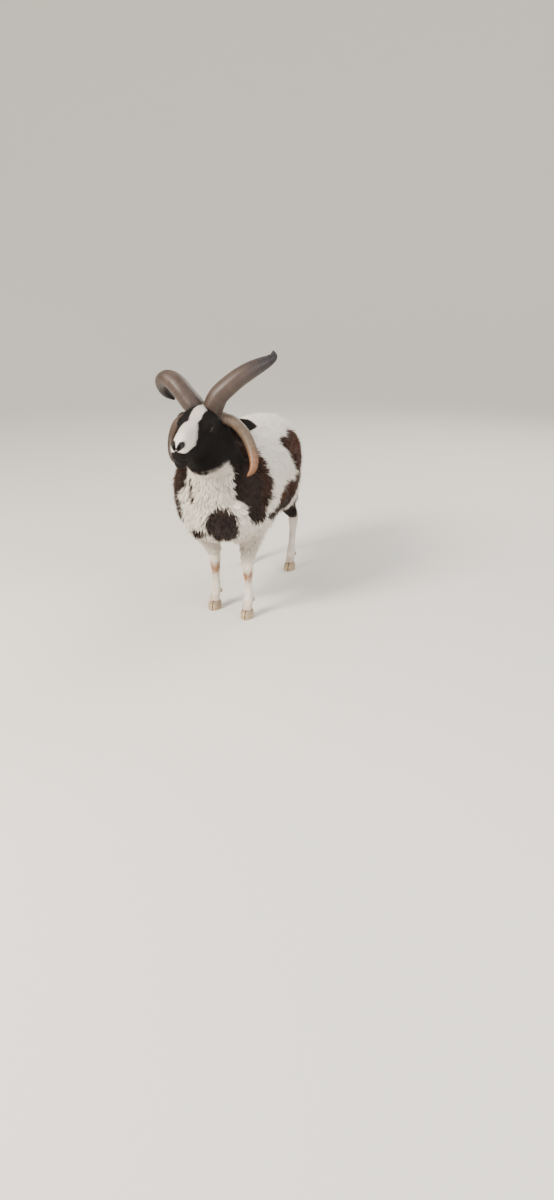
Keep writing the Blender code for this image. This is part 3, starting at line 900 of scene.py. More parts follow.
@dataclass
class SkinMaker:
    """Draws one closed skin over all the flesh, then sinks it by the coat's depth and shapes the face."""

    voxel: float = 0.0031
    swell: float = 0.0006
    budget: int = 190_000
    finer: tuple[tuple[float, float], ...] = ((0.0020, 0.034), (0.0011, 0.024), (0.0006, 0.0192))
    body_depth: float = 0.027
    belly_less: float = 0.008
    neck_depth: float = 0.023
    tail_depth: float = 0.012
    scrotum_depth: float = 0.005
    ear_depth: float = 0.0015
    face_depth: float = 0.0024
    muzzle_less: float = 0.0012
    nape_more: float = 0.010
    leg_heights: tuple[float, float] = (0.24, 0.39)
    leg_depths: tuple[float, float] = (0.0032, 0.026)
    low: float = 0.2
    collar_sink: float = 0.0025
    mouth_depth: float = 0.0052
    mouth_half: float = 0.0022
    lip_swell: float = 0.0026
    thin_levels: int = 5
    thin_fall: float = 4.4

    def flesh(self) -> tuple[bpy.types.Mesh, Array]:
        """Join the solids of flesh, each swollen a little so that the cuts between them close.

        Returns:
            One mesh of them all, and the Region number of each of its triangles.
        """
        points, triangles, regions = [], [], []
        count = 0
        fillers = [n for n in frame["nodes"] if n.startswith(("eye", "dewclaw"))]
        names = [(r.name.lower(), int(r)) for r in Region]
        for name, region in names + [(n, -1) for n in fillers]:
            shape = bmesh.new()
            shape.from_mesh(frame["nodes"][name].data)
            bmesh.ops.remove_doubles(shape, verts=shape.verts, dist=1e-5)
            bmesh.ops.triangulate(shape, faces=shape.faces)
            bmesh.ops.recalc_face_normals(shape, faces=shape.faces)
            shape.verts.index_update()
            points.append(np.array([v.co + v.normal * self.swell for v in shape.verts]))
            triangles.append(np.array([[v.index for v in f.verts] for f in shape.faces]) + count)
            regions.append(np.full(len(shape.faces), region))
            count += len(shape.verts)
            shape.free()
        return triangle_mesh("flesh", np.vstack(points), np.vstack(triangles)), np.concatenate(regions)

    def closed(self, flesh: bpy.types.Mesh) -> bpy.types.Mesh:
        """Draw one closed even mesh round the joined solids.

        Args:
            flesh: The joined solids.

        Returns:
            The mesh.
        """
        obj = new_object("flesh", flesh)
        remesh = obj.modifiers.new("one skin", "REMESH")
        remesh.mode = "VOXEL"
        remesh.voxel_size = self.voxel
        return evaluated_mesh(obj)

    def refined(self, mesh: bpy.types.Mesh) -> bpy.types.Mesh:
        """Split the mesh finer at the eyes, nostrils and mouth.

        Args:
            mesh: The even mesh, which is freed.

        Returns:
            A mesh of triangles.
        """
        shape = bmesh.new()
        shape.from_mesh(mesh)
        bpy.data.meshes.remove(mesh)
        bmesh.ops.triangulate(shape, faces=shape.faces)
        for edge, reach in self.finer:
            shape.verts.ensure_lookup_table()
            local = HEAD.inward(np.array([v.co for v in shape.verts]))
            near = np.zeros(len(local), dtype=bool)
            for axes in EYE_AXES:
                near |= np.linalg.norm(local - axes.centre, axis=1) < reach
            if edge > self.finer[-1][0]:
                near |= line_distance(mirrored(local), np.array(NOSTRIL))[0] < reach * 0.55
                near |= over_mouth(local)[1] < reach * 0.30
            shape.verts.index_update()
            long_edges = [
                e for e in shape.edges
                if near[e.verts[0].index] and near[e.verts[1].index] and e.calc_length() > edge
            ]
            bmesh.ops.subdivide_edges(shape, edges=long_edges, cuts=1)
            bmesh.ops.triangulate(shape, faces=shape.faces)
        fine = bpy.data.meshes.new("skin")
        shape.to_mesh(fine)
        shape.free()
        return fine

    def coat_depth(self, points: Array, normals: Array, regions: Array) -> Array:
        """How deep the coat is over each point, before it is evened out.

        Args:
            points: N by 3, on the coat's outer face.
            normals: The outward direction at each.
            regions: One Region number for each.

        Returns:
            Depths in metres.
        """
        depth = np.full(len(points), self.body_depth)
        depth -= self.belly_less * ease(-0.4, -0.9, normals[:, 2])
        depth[regions == Region.NECK] = self.neck_depth
        depth[regions == Region.TAIL] = self.tail_depth
        depth[regions == Region.SCROTUM] = self.scrotum_depth
        back = HEAD.inward(points)[:, 1]
        head = self.face_depth - self.muzzle_less * ease(-0.190, -0.250, back)
        head += self.nape_more * ease(0.000, 0.045, back)
        depth = np.where(regions == Region.HEAD, head, depth)
        depth[np.isin(regions, EARS)] = self.ear_depth
        leg = np.interp(points[:, 2], self.leg_heights, self.leg_depths)
        return np.where(np.isin(regions, LEGS), leg, depth)

    def lie(self, points: Array, regions: Array) -> Array:
        """The way the coat lies at each point, before it is laid on the skin.

        Args:
            points: N by 3, in the row frame.
            regions: One Region number for each.

        Returns:
            Directions, N by 3.
        """
        flow = np.tile((0.0, 0.60, -0.80), (len(points), 1))
        flow[regions == Region.NECK] = (0.0, 0.45, -0.90)
        flow[np.isin(regions, LEGS)] = (0.0, 0.16, -1.0)
        flow[np.isin(regions, (Region.TAIL, Region.SCROTUM))] = (0.0, 0.05, -1.0)
        local = HEAD.inward(points)
        face = HEAD.direction(unit(local - (0.0, -0.345, -0.030)))
        flow = np.where((regions == Region.HEAD)[:, None], face, flow)
        for side, region in ((1, Region.EAR_LEFT), (-1, Region.EAR_RIGHT)):
            ear = HEAD.direction(unit(np.array((0.120 * side, 0.071, -0.041))))
            flow[regions == region] = ear
        return unit(flow)

    def eyelids(self, local: Array, bare: Array) -> Array:
        """Open the skin over each eye and roll it into lids.

        Args:
            local: Points in the head's own axes.
            bare: How bare the skin is, raised on the rims.

        Returns:
            The moved points.
        """
        for axes in EYE_AXES:
            fore, above, radius = axes.angles(local)
            near = (radius < 0.034) & (np.abs(fore) < 1.45) & (np.abs(above) < 1.45)
            level = LIDS.level(fore, above)
            snap = near & (np.abs(level) < 0.15)
            scale = np.where(snap, 1.0 / np.sqrt(np.maximum(level + 1.0, 0.1)), 1.0)
            fore, above = fore * scale, above * scale
            level = np.where(snap, 0.0, level)
            roll = LIDS.roll * (1.0 - (np.clip(level, 0.0, 0.9) / 0.45 - 1.0) ** 2)
            crease = -0.0010 * np.exp(-(((level - 1.3) / 0.30) ** 2))
            wanted = EYE_RADIUS + LIDS.rim + roll + crease
            hold = ease(3.4, 1.0, level)
            rim = radius + (wanted - radius) * hold
            rim = np.where(level < 0.0, LIDS.hidden, rim)
            moved = axes.place(np.clip(fore, -1.5, 1.5), np.clip(above, -1.5, 1.5), rim)
            local = np.where((near & (level < 3.4))[:, None], moved, local)
            np.maximum(bare, np.where(near, ease(0.22, 0.08, level), 0.0), out=bare)
        return local

    def collars(self, local: Array) -> Array:
        """Draw the skin in against each horn, so that no gap shows at its root.

        Args:
            local: Points in the head's own axes.

        Returns:
            The moved points.
        """
        for horn in HORNS:
            distance, along, radius, nearest = horn.nearest(local)
            radius = radius * (1.0 + horn.oval) / 2
            close = ease(0.009, 0.003, distance - radius) * (along < 0.45)
            share = (radius - self.collar_sink) / np.maximum(distance, 1e-6)
            wanted = nearest + (local - nearest) * share[:, None]
            moves = (distance > radius - self.collar_sink) & (close > 0)
            local = np.where(moves[:, None], local + (wanted - local) * close[:, None], local)
        return local

    def face(self, points: Array, normals: Array, regions: Array) -> tuple[Array, Array, Array]:
        """Shape the nostrils, mouth, lids and folds of the face.

        Args:
            points: The skin's points, in the row frame.
            normals: The outward direction at each.
            regions: One Region number for each.

        Returns:
            The moved points, how bare each is and how deep in a hollow.
        """
        local = HEAD.inward(points)
        head = (regions == Region.HEAD) | (regions == -1)
        inward = -(normals @ HEAD.turn)
        moved = local.copy()
        for line in FACE_LINES:
            moved += line.shift(local, inward)
        high, mouth = over_mouth(local)
        muzzle = ease(-0.190, -0.215, local[:, 1])
        lips = np.exp(-(((high - 0.0085) / 0.0055) ** 2)) + 0.8 * np.exp(-(((high + 0.0080) / 0.0050) ** 2))
        groove = self.mouth_depth * np.exp(-((mouth / self.mouth_half) ** 2))
        moved += inward * (groove - self.lip_swell * muzzle * lips)[:, None]
        nostril = line_distance(mirrored(local), np.array(NOSTRIL))[0]
        # Painted shade: the nostrils' pits and the mouth's line are painted near black, as shadow in the
        # hollows
        hollow = np.maximum(ease(0.0052, 0.0020, nostril), 0.8 * ease(0.0022, 0.0010, mouth))
        pad = ease(0.0116, 0.0100, nose_distance(local)) * ease(-0.238, -0.252, local[:, 1])
        bare = np.maximum(pad, ease(0.0036, 0.0022, mouth))
        moved = self.eyelids(moved, bare)
        moved = self.collars(moved)
        local = np.where(head[:, None], moved, local)
        return HEAD.outward(local), bare * head, hollow * head

    def thinned(self, mesh: bpy.types.Mesh, keep: Array) -> bpy.types.Mesh:
        """Collapse edges down to the triangle budget.

        Args:
            mesh: The dense mesh.
            keep: How much of the detail each vertex keeps, from 0 to 1.

        Returns:
            The thinner mesh.
        """
        obj = new_object("skin", mesh)
        group = obj.vertex_groups.new(name="thin")
        levels = np.clip((keep * self.thin_levels).astype(int), 0, self.thin_levels - 1)
        for level in range(self.thin_levels):
            group.add(np.nonzero(levels == level)[0].tolist(), 1.0 - level / self.thin_fall, "REPLACE")
        fewer = obj.modifiers.new("fewer triangles", "DECIMATE")
        fewer.ratio = min(1.0, self.budget / len(mesh.polygons))
        fewer.vertex_group = "thin"
        fewer.vertex_group_factor = 1.0
        fewer.use_collapse_triangulate = True
        return evaluated_mesh(obj)

    def build(self) -> tuple[bpy.types.Object, Ground]:
        """Make the skin and the ground that the coat grows from.

        Returns:
            The skin and the ground.
        """
        flesh, face_regions = self.flesh()
        solid = triangle_mesh("solid", mesh_points(flesh), mesh_triangles(flesh))
        tree = bvh_of(solid)
        mesh = self.refined(self.closed(flesh))
        outer = mesh_points(mesh)
        spread = Spread(read_rows(mesh.edges, "vertices", 2, np.int32), len(outer))
        # Soften and sharpen by turns, which smooths the voxels' steps and keeps the girth
        for _ in range(16):
            outer = spread.soften(outer, 1, 0.50)
            outer = spread.soften(outer, 1, -0.52)
        outer = spread.soften(outer, 5)
        set_points(mesh, outer)
        normals = unit(spread.soften(mesh_normals(mesh), 6))
        regions = np.array([face_regions[tree.find_nearest(Vector(p))[2]] for p in outer])
        depth = self.coat_depth(outer, normals, np.where(regions < 0, Region.HEAD, regions))
        low = outer[:, 2] < self.low
        depth = np.where((regions < 0) & low, self.leg_depths[0], depth)
        depth = spread.soften(depth, 45, 0.6)
        points = outer - unit(spread.soften(normals, 12)) * depth[:, None]
        points = spread.soften(points, 8, np.clip(depth / 0.03, 0.0, 0.6))
        set_points(mesh, points)
        named = np.where(regions < 0, np.where(low, self.nearest_leg(outer), Region.HEAD), regions)
        points, bare, hollow = self.face(points, mesh_normals(mesh), named)
        flow = spread.soften(self.lie(outer, named), 40)
        set_points(mesh, points)
        normals = mesh_normals(mesh)
        flow = unit(flow - np.sum(flow * normals, axis=1, keepdims=True) * normals)
        ground = Ground(points, outer, normals, depth, named, flow, mesh_triangles(mesh), bare, hollow)
        local = HEAD.inward(points)
        keep = np.where(named == Region.HEAD, 0.55 + 0.45 * ease(-0.06, -0.12, local[:, 1]), 0.0)
        keep = np.maximum(keep, np.isin(named, EARS) * 0.5)
        skin = new_object("skin", self.thinned(mesh, keep))
        skin.data.polygons.foreach_set("use_smooth", np.ones(len(skin.data.polygons), dtype=bool))
        return skin, ground

    @staticmethod
    def nearest_leg(points: Array) -> Array:
        """Say which leg each low point is on.

        Args:
            points: N by 3, in the row frame.

        Returns:
            One Region number for each.
        """
        legs = np.array(((1, -1), (-1, -1), (1, 1), (-1, 1)))
        side = np.sign(points[:, 0] - MIDLINE)
        end = np.sign(points[:, 1])
        found = np.argmin(np.abs(side[:, None] - legs[:, 0]) + np.abs(end[:, None] - legs[:, 1]), axis=1)
        return np.array(LEGS)[found]


def bvh_of(mesh: bpy.types.Mesh) -> BVHTree:
    """Make a search tree.

    Args:
        mesh: A mesh of triangles, which is freed.

    Returns:
        The tree.
    """
    shape = bmesh.new()
    shape.from_mesh(mesh)
    tree = BVHTree.FromBMesh(shape)
    shape.free()
    bpy.data.meshes.remove(mesh)
    return tree


@dataclass(frozen=True)
class TuftKind:
    """One kind of tuft, in metres.

    The ridge is its crest's height over its width, the stretch its length over the coat's depth, within
    least and most, and the spread how uneven the lengths are. It rises from the skin by the degrees of
    rise, at its root and at its tip, and strays from the lie of the coat by about sway, in radians.
    Neighbouring tips are drawn together by the share gather. Crimp sets its side waves, and the root
    lies sink under the skin.
    """

    spacing: float
    width: float
    ridge: float
    stretch: float
    spread: float
    least: float
    most: float
    rise: tuple[float, float]
    gather: float
    sway: float
    segments: int = 2
    crimp: float = 0.0
    sink: float = 0.0004

    @property
    def wool(self) -> bool:
        """Whether it is wool rather than short hair."""
        return self.segments > 2


LOCK = TuftKind(
    spacing=0.0046, width=0.0043, ridge=0.42, stretch=1.40, spread=0.24, least=0.012, most=0.040,
    rise=(57.0, 6.0), gather=0.38, sway=0.42, segments=3, crimp=0.0022, sink=0.0015,
)
WISP = TuftKind(
    spacing=0.0072, width=0.0015, ridge=0.60, stretch=1.60, spread=0.30, least=0.012, most=0.048,
    rise=(60.0, 13.0), gather=0.30, sway=0.60, segments=3, crimp=0.0024, sink=0.0015,
)
SHORT = TuftKind(
    spacing=0.0030, width=0.0018, ridge=0.45, stretch=2.60, spread=0.20, least=0.0065, most=0.014,
    rise=(38.0, 8.0), gather=0.15, sway=0.22,
)
FINE = TuftKind(
    spacing=0.00178, width=0.0010, ridge=0.36, stretch=3.10, spread=0.22, least=0.0036, most=0.013,
    rise=(31.0, 6.0), gather=0.08, sway=0.16,
)
EAR_HAIR = TuftKind(
    spacing=0.0028, width=0.0016, ridge=0.40, stretch=5.0, spread=0.25, least=0.0070, most=0.012,
    rise=(34.0, 10.0), gather=0.12, sway=0.25,
)
# Tips are drawn together in staples this many spacings wide
STAPLE = 4.6
# Roots stand one to a cube of space this many spacings wide
APART = 1.22
# The side of each tuft's patch on the OFBake map, whose own side is 1
BAKE_PATCH = 0.003
# How many cubes of space there are numbers for each way
CELLS = 4096


@dataclass
class Roots:
    """Where tufts grow, as arrays with one row for each."""

    points: Array
    outer: Array
    normals: Array
    flow: Array
    depth: Array
    regions: Array
    shade: Array

    def chosen(self, rows: Array) -> "Roots":
        """Only these rows."""
        return Roots(*(getattr(self, f.name)[rows] for f in fields(self)))


def first_in_cell(points: Array, size: float) -> Array:
    """Pick the first point in each cube of space.

    Args:
        points: N by 3.
        size: The cubes' side, in metres.

    Returns:
        The chosen points' numbers, in the order of their cubes.
    """
    cell = np.floor(points / size).astype(np.int64) + CELLS // 2
    return np.unique((cell[:, 0] * CELLS + cell[:, 1]) * CELLS + cell[:, 2], return_index=True)[1]


@dataclass
class Coat:
    """Scatters tufts over the ground and gathers them into pieces, with sizes in metres and rises in degrees.

    The swirl, clump and drift are the sizes of the swellings in the tufts' direction and length. Wool on
    the upper forelegs is longer by a share, and stands out further.
    """

    ground: Ground
    swirl: float = 0.036
    clump: float = 0.022
    drift: float = 0.055
    uneven_width: float = 0.30
    full_length: float = 0.030
    uneven_rise: tuple[float, float] = (10.0, 9.0)
    foreleg_longer: float = 0.40
    foreleg_rise: float = 16.0
    woolly_depth: float = 0.0046
    short_depth: float = 0.0110
    hair_bottom: float = 0.0365
    cuts: tuple[float, ...] = (-9.0, -0.235, -0.02, 0.19, 0.36, 9.0)
    parts: tuple[str, ...] = ("neck", "shoulder", "flank", "loin", "rump")
    rng: np.random.Generator = field(default_factory=lambda: np.random.default_rng(SEED))
    made: list[bpy.types.Object] = field(default_factory=list)

    def scatter(self, mask: Array, spacing: float) -> Roots:
        """Choose evenly spread roots.

        Args:
            mask: Which of the ground's points may carry tufts.
            spacing: The mean distance between roots, in metres.

        Returns:
            The roots.
        """
        g = self.ground
        corners = g.triangles[np.all(mask[g.triangles], axis=1)]
        a, b, c = (g.points[corners[:, k]] for k in range(3))
        total = np.cumsum(0.5 * np.linalg.norm(np.cross(b - a, c - a), axis=1))
        # Three tries for each root leave few gaps when only the first in each cube of space is kept
        count = int(3.0 * total[-1] / spacing**2)
        pick = np.searchsorted(total, self.rng.random(count) * total[-1])
        weight = self.rng.dirichlet((1.0, 1.0, 1.0), count)
        used = corners[np.minimum(pick, len(corners) - 1)]

        def between(values: Array) -> Array:
            """Values at the roots from the corners' values."""
            return np.einsum("nk,nk...->n...", weight, values[used])

        points = between(g.points)
        first = np.sort(first_in_cell(points, spacing * APART))
        used, weight = used[first], weight[first]
        outer, depth = between(g.outer), between(g.depth)
        normals = unit(between(g.normals))
        flow = between(g.flow)
        flow = unit(flow - np.sum(flow * normals, axis=1, keepdims=True) * normals)
        regions = g.regions[used[:, 0]]
        shade = self.shades(outer + flow * np.minimum(depth, 0.02)[:, None], regions)
        return Roots(points[first], outer, normals, flow, depth, regions, shade)

    def shades(self, points: Array, regions: Array) -> Array:
        """Choose each tuft's own colour.

        Args:
            points: Where the marking is read.
            regions: One Region number for each.

        Returns:
            Dark, tone, and tan or rust for each tuft.
        """
        dark = MARKINGS.darkness(points, regions)
        black = dark > 0.5 + 0.36 * self.rng.uniform(-1, 1, len(points))
        tone = 0.5 + 0.30 * lattice_noise(points, 0.030, 11, 2) + self.rng.uniform(-0.3, 0.3, len(points))
        stain = np.where(black, MARKINGS.rust(points), MARKINGS.tan(points, regions))
        return np.column_stack((black.astype(float), np.clip(tone, 0, 1), stain))

    def middle_lines(self, roots: Roots, kind: TuftKind) -> tuple[Array, Array, Array]:
        """Bend a middle line for each tuft, from its root along the lie of the coat.

        Args:
            roots: Where they grow.
            kind: What they are like.

        Returns:
            The lines, N by stations by 3, the stations from 0 at the root to 1 at the tip, and each width.
        """
        count, rng = len(roots.points), self.rng
        sway = kind.sway * (lattice_noise(roots.points, self.swirl, 21) + 0.7 * rng.uniform(-1, 1, count))
        beside = np.cross(roots.normals, roots.flow)
        flow = roots.flow * np.cos(sway)[:, None] + beside * np.sin(sway)[:, None]
        length = np.clip(roots.depth * kind.stretch, kind.least, kind.most)
        length *= 1.0 + kind.spread * rng.uniform(-1, 1, count)
        swell = 0.16 * lattice_noise(roots.points, self.clump, 23)
        length *= 1.0 + swell + 0.20 * lattice_noise(roots.points, self.drift, 29)
        width = kind.width * (1.0 + self.uneven_width * rng.uniform(-1, 1, count))
        if kind.wool:
            width *= np.clip(length / self.full_length, 0.55, 1.0)
        fluffy = np.isin(roots.regions, FORELEGS) * kind.wool
        length *= 1.0 + self.foreleg_longer * fluffy
        low = np.radians(kind.rise[0] + self.uneven_rise[0] * rng.uniform(-1, 1, count))
        high = kind.rise[1] + self.uneven_rise[1] * rng.uniform(-1, 1, count)
        high = np.radians(high + self.foreleg_rise * fluffy)
        turn = rng.uniform(-0.5, 0.5, count)
        phase = rng.uniform(0, math.tau, count)
        side = np.cross(roots.normals, flow)
        line = [roots.points - roots.normals * kind.sink]
        t = 1.0 - (1.0 - np.linspace(0, 1, kind.segments + 1)) ** 1.30
        for start, stop in zip(t, t[1:]):
            middle = 0.5 * (start + stop)
            angle = low + (high - low) * middle**0.75
            bend = turn * middle
            ahead = flow * np.cos(bend)[:, None] + side * np.sin(bend)[:, None]
            run = ahead * np.cos(angle)[:, None] + roots.normals * np.sin(angle)[:, None]
            line.append(line[-1] + run * (length * (stop - start))[:, None])
        wave = kind.crimp * np.sin(phase[:, None] + 7.5 * t) * (t * (1.15 - t))[None, :] * 3.0
        line = np.stack(line, axis=1) + side[:, None, :] * wave[:, :, None]
        return self.gathered(line, roots, kind, t), t, width

    def grow(self, roots: Roots, kind: TuftKind) -> tuple[Array, ...]:
        """Shape a tuft at each root, with three corners round it at each station and one at its tip.

        Args:
            roots: Where they grow.
            kind: What they are like.

        Returns:
            Points, colours, strand places and OFBake places, each with one row of vertices for each tuft.
        """
        line, t, width = self.middle_lines(roots, kind)
        count, steps = len(line), kind.segments
        fat = (0.60 + 0.40 * ease(0.0, 0.35, t)) * (1.0 - np.clip(t, 0, 0.999) ** 2.4) ** 0.8
        half = 0.5 * width[:, None] * fat[None, :]
        along = unit(np.gradient(line, axis=1))
        across = unit(np.cross(roots.normals[:, None, :], along))
        above = np.cross(along, across)
        left, right = line - across * half[..., None], line + across * half[..., None]
        crest = line + above * (half * 2 * kind.ridge)[..., None]
        rows = np.stack((left, crest, right), axis=2)[:, :steps].reshape(count, steps * 3, 3)
        points = np.concatenate((rows, line[:, steps:]), axis=1)
        place_t = np.append(np.repeat(t[:steps], 3), 1.0)
        place_u = np.append(np.tile((0.0, 0.5, 1.0), steps), 0.5)
        dark, tone, stain = (roots.shade[:, k, None] for k in range(3))
        ones = np.ones((count, len(place_t)))
        # The place along each tuft goes into its colour, where the finish paints shade on the roots
        colour = np.stack([ones * value for value in (dark, place_t, tone, stain)], axis=2)
        own = self.rng.random((count, 1))
        strand = np.stack([ones * value for value in (place_u, place_t, own, 1.0)], axis=2)
        patch = BAKE_PATCH * np.stack([ones * (value - 0.5) for value in (place_u, place_t)], axis=2)
        return points, colour, strand, patch

    def gathered(self, line: Array, roots: Roots, kind: TuftKind, t: Array) -> Array:
        """Draw neighbouring tips together, as wool does.

        Args:
            line: The middle line of each tuft, N by stations by 3.
            roots: Where they grow.
            kind: What they are like.
            t: The stations, from 0 at the root to 1 at the tip.

        Returns:
            The drawn lines.
        """
        heads = first_in_cell(roots.points, kind.spacing * STAPLE)
        tree = point_tree(roots.points[heads])
        owner = heads[[tree.find(p)[1] for p in roots.points]]
        pull = (line[owner, -1] - line[:, -1]) * kind.gather
        return line + pull[:, None, :] * (t**1.7)[None, :, None]

    @staticmethod
    def faces(steps: int) -> Array:
        """Join one tuft's vertices.

        Args:
            steps: Its segments.

        Returns:
            Its triangles, closed at the root and at the tip.
        """
        walls = ring_quads(steps, 3)[:, (0, 3, 2, 0, 2, 1)].reshape(-1, 3)
        last, tip = (steps - 1) * 3, steps * 3
        return np.vstack(((0, 1, 2), walls, [(last + s, tip, last + (s + 1) % 3) for s in range(3)]))

    def piece(self, name: str, slot: str, finish: bpy.types.Material, *sets: tuple[Roots, TuftKind]) -> None:
        """Make one piece of coat.

        Args:
            name: Its name.
            slot: The record's slot that it is finished by.
            finish: Its material.
            sets: Roots with the kind of tuft that grows on them.
        """
        parts, count = [], 0
        base = np.vstack([roots.points for roots, _ in sets])
        low, high = base.min(axis=0), base.max(axis=0)
        for roots, kind in sets:
            points, colour, strand, patch = self.grow(roots, kind)
            first = np.arange(len(points))[:, None, None] * points.shape[1] + count
            place = unwrap(roots.points, roots.normals, low, high)[:, None, :] + patch
            parts.append((self.faces(kind.segments) + first, points, colour, strand, place))
            count += points.shape[0] * points.shape[1]
        triangles, points, colour, strand, place = (
            np.vstack([rows.reshape(-1, rows.shape[-1]) for rows in same]) for same in zip(*parts)
        )
        mesh = triangle_mesh(name, points, triangles)
        paint(mesh, "coat", colour)
        paint(mesh, "strand", strand)
        layer = mesh.uv_layers.new(name="OFBake")
        layer.data.foreach_set("uv", place[triangles.ravel()].astype(np.float32).ravel())
        self.made.append(new_object(name, mesh))
        dress(self.made[-1], finish, slot)

    def fleece(self, finish: bpy.types.Material) -> None:
        """Cover the trunk, neck, upper legs, tail and scrotum with locks and wisps.

        Args:
            finish: The wool's material.
        """
        g = self.ground
        woolly = (g.depth > self.woolly_depth) & ~np.isin(g.regions, EARS) & (g.bare < 0.1)
        woolly |= np.isin(g.regions, (Region.TAIL, Region.SCROTUM))
        locks = self.scatter(woolly, LOCK.spacing)
        wisps = self.scatter(woolly, WISP.spacing)
        LOG.info("%d locks, %d wisps", len(locks.points), len(wisps.points))
        for side, word in ((1, "left"), (-1, "right")):
            for part, start, stop in zip(self.parts, self.cuts, self.cuts[1:]):
                sets = []
                for roots, kind in ((locks, LOCK), (wisps, WISP)):
                    x, y, _ = roots.points.T
                    rows = (side * (x - MIDLINE) > 0) & (y >= start) & (y < stop)
                    sets.append((roots.chosen(rows), kind))
                self.piece(f"fleece_{word}_{part}", "white_wool", finish, *sets)

    def short_hair(self, finish: bpy.types.Material) -> None:
        """Cover the face, ears and lower legs with short tufts.

        Args:
            finish: The hair's material.
        """
        g = self.ground
        local = HEAD.inward(g.points)
        short = (g.depth <= self.short_depth) & (g.bare < 0.35) & (g.hollow < 0.2)
        for horn in HORNS:
            distance, _, radius, _ = horn.nearest(local)
            short &= distance > radius * 0.95
        roots = self.scatter(short & np.isin(g.regions, (Region.HEAD, Region.NECK)), FINE.spacing)
        for side, word in ((1, "left"), (-1, "right")):
            rows = side * HEAD.inward(roots.points)[:, 0] > 0
            self.piece(f"face_hair_{word}", "black_wool", finish, (roots.chosen(rows), FINE))
        for region in EARS:
            roots = self.scatter(short & (g.regions == region), EAR_HAIR.spacing)
            self.piece(region.name.lower() + "_hair", "black_wool", finish, (roots, EAR_HAIR))
        for region in LEGS:
            leg = (g.regions == region) & (g.points[:, 2] > self.hair_bottom)
            roots = self.scatter(short & leg, SHORT.spacing)
            self.piece(region.name.lower() + "_hair", "short_hair", finish, (roots, SHORT))


def point_tree(points: Array) -> KDTree:
    """Make a search tree.

    Args:
        points: N by 3.

    Returns:
        The tree, which finds a point's number in the array.
    """
    tree = KDTree(len(points))
    for k, point in enumerate(points):
        tree.insert(point, k)
    tree.balance()
    return tree


def unwrap(points: Array, normals: Array, low: Array, high: Array) -> Array:
    """Lay the skin's roots out flat, on one tile for each of the six ways that the skin faces.

    Args:
        points: The roots, in the row frame.
        normals: The skin's outward direction at each.
        low: The lowest corner of the piece.
        high: The highest corner of the piece.

    Returns:
        One place from 0 to 1 for each.
    """
    axis = np.argmax(np.abs(normals), axis=1)
    positive = np.take_along_axis(normals, axis[:, None], axis=1)[:, 0] > 0
    scaled = (points - low) / np.max(high - low)
    across = np.where(axis == 0, scaled[:, 1], scaled[:, 0])
    up = np.where(axis == 2, scaled[:, 1], scaled[:, 2])
    return np.column_stack(((axis + 0.04 + 0.92 * across) / 3.0, (positive + 0.04 + 0.92 * up) / 2.0))


def tube_object(name: str, points: Array, sides: int, attribute: str, values: Array) -> bpy.types.Object:
    """Close rings of points into one painted solid.

    Args:
        name: The object's name.
        points: The rings' points one after another.
        sides: How many points in each ring.
        attribute: The name of the painted values, which a material reads.
        values: Four for each point. The middles of the two ends take those of their ring's first point.

    Returns:
        The object.
    """
    tip, root = len(points), len(points) + 1
    last = tip - sides
    quads = ring_quads(len(points) // sides, sides)
    caps = [(last + i, last + (i + 1) % sides, tip) for i in range(sides)]
    caps += [((i + 1) % sides, i, root) for i in range(sides)]
    points = np.vstack((points, points[last:].mean(axis=0), points[:sides].mean(axis=0)))
    mesh = triangle_mesh(name, points, np.vstack((quads[:, (0, 1, 2)], quads[:, (0, 2, 3)], caps)))
    shape = bmesh.new()
    shape.from_mesh(mesh)
    bmesh.ops.recalc_face_normals(shape, faces=shape.faces)
    shape.to_mesh(mesh)
    shape.free()
    paint(mesh, attribute, np.vstack((values, values[[last, 0]])))
    return new_object(name, mesh)


def painted_ring(*values: Array | float) -> Array:
    """Three painted values for each point of a ring, given as arrays or numbers, and 1 for the fourth."""
    return np.column_stack(np.broadcast_arrays(*values, 1.0))


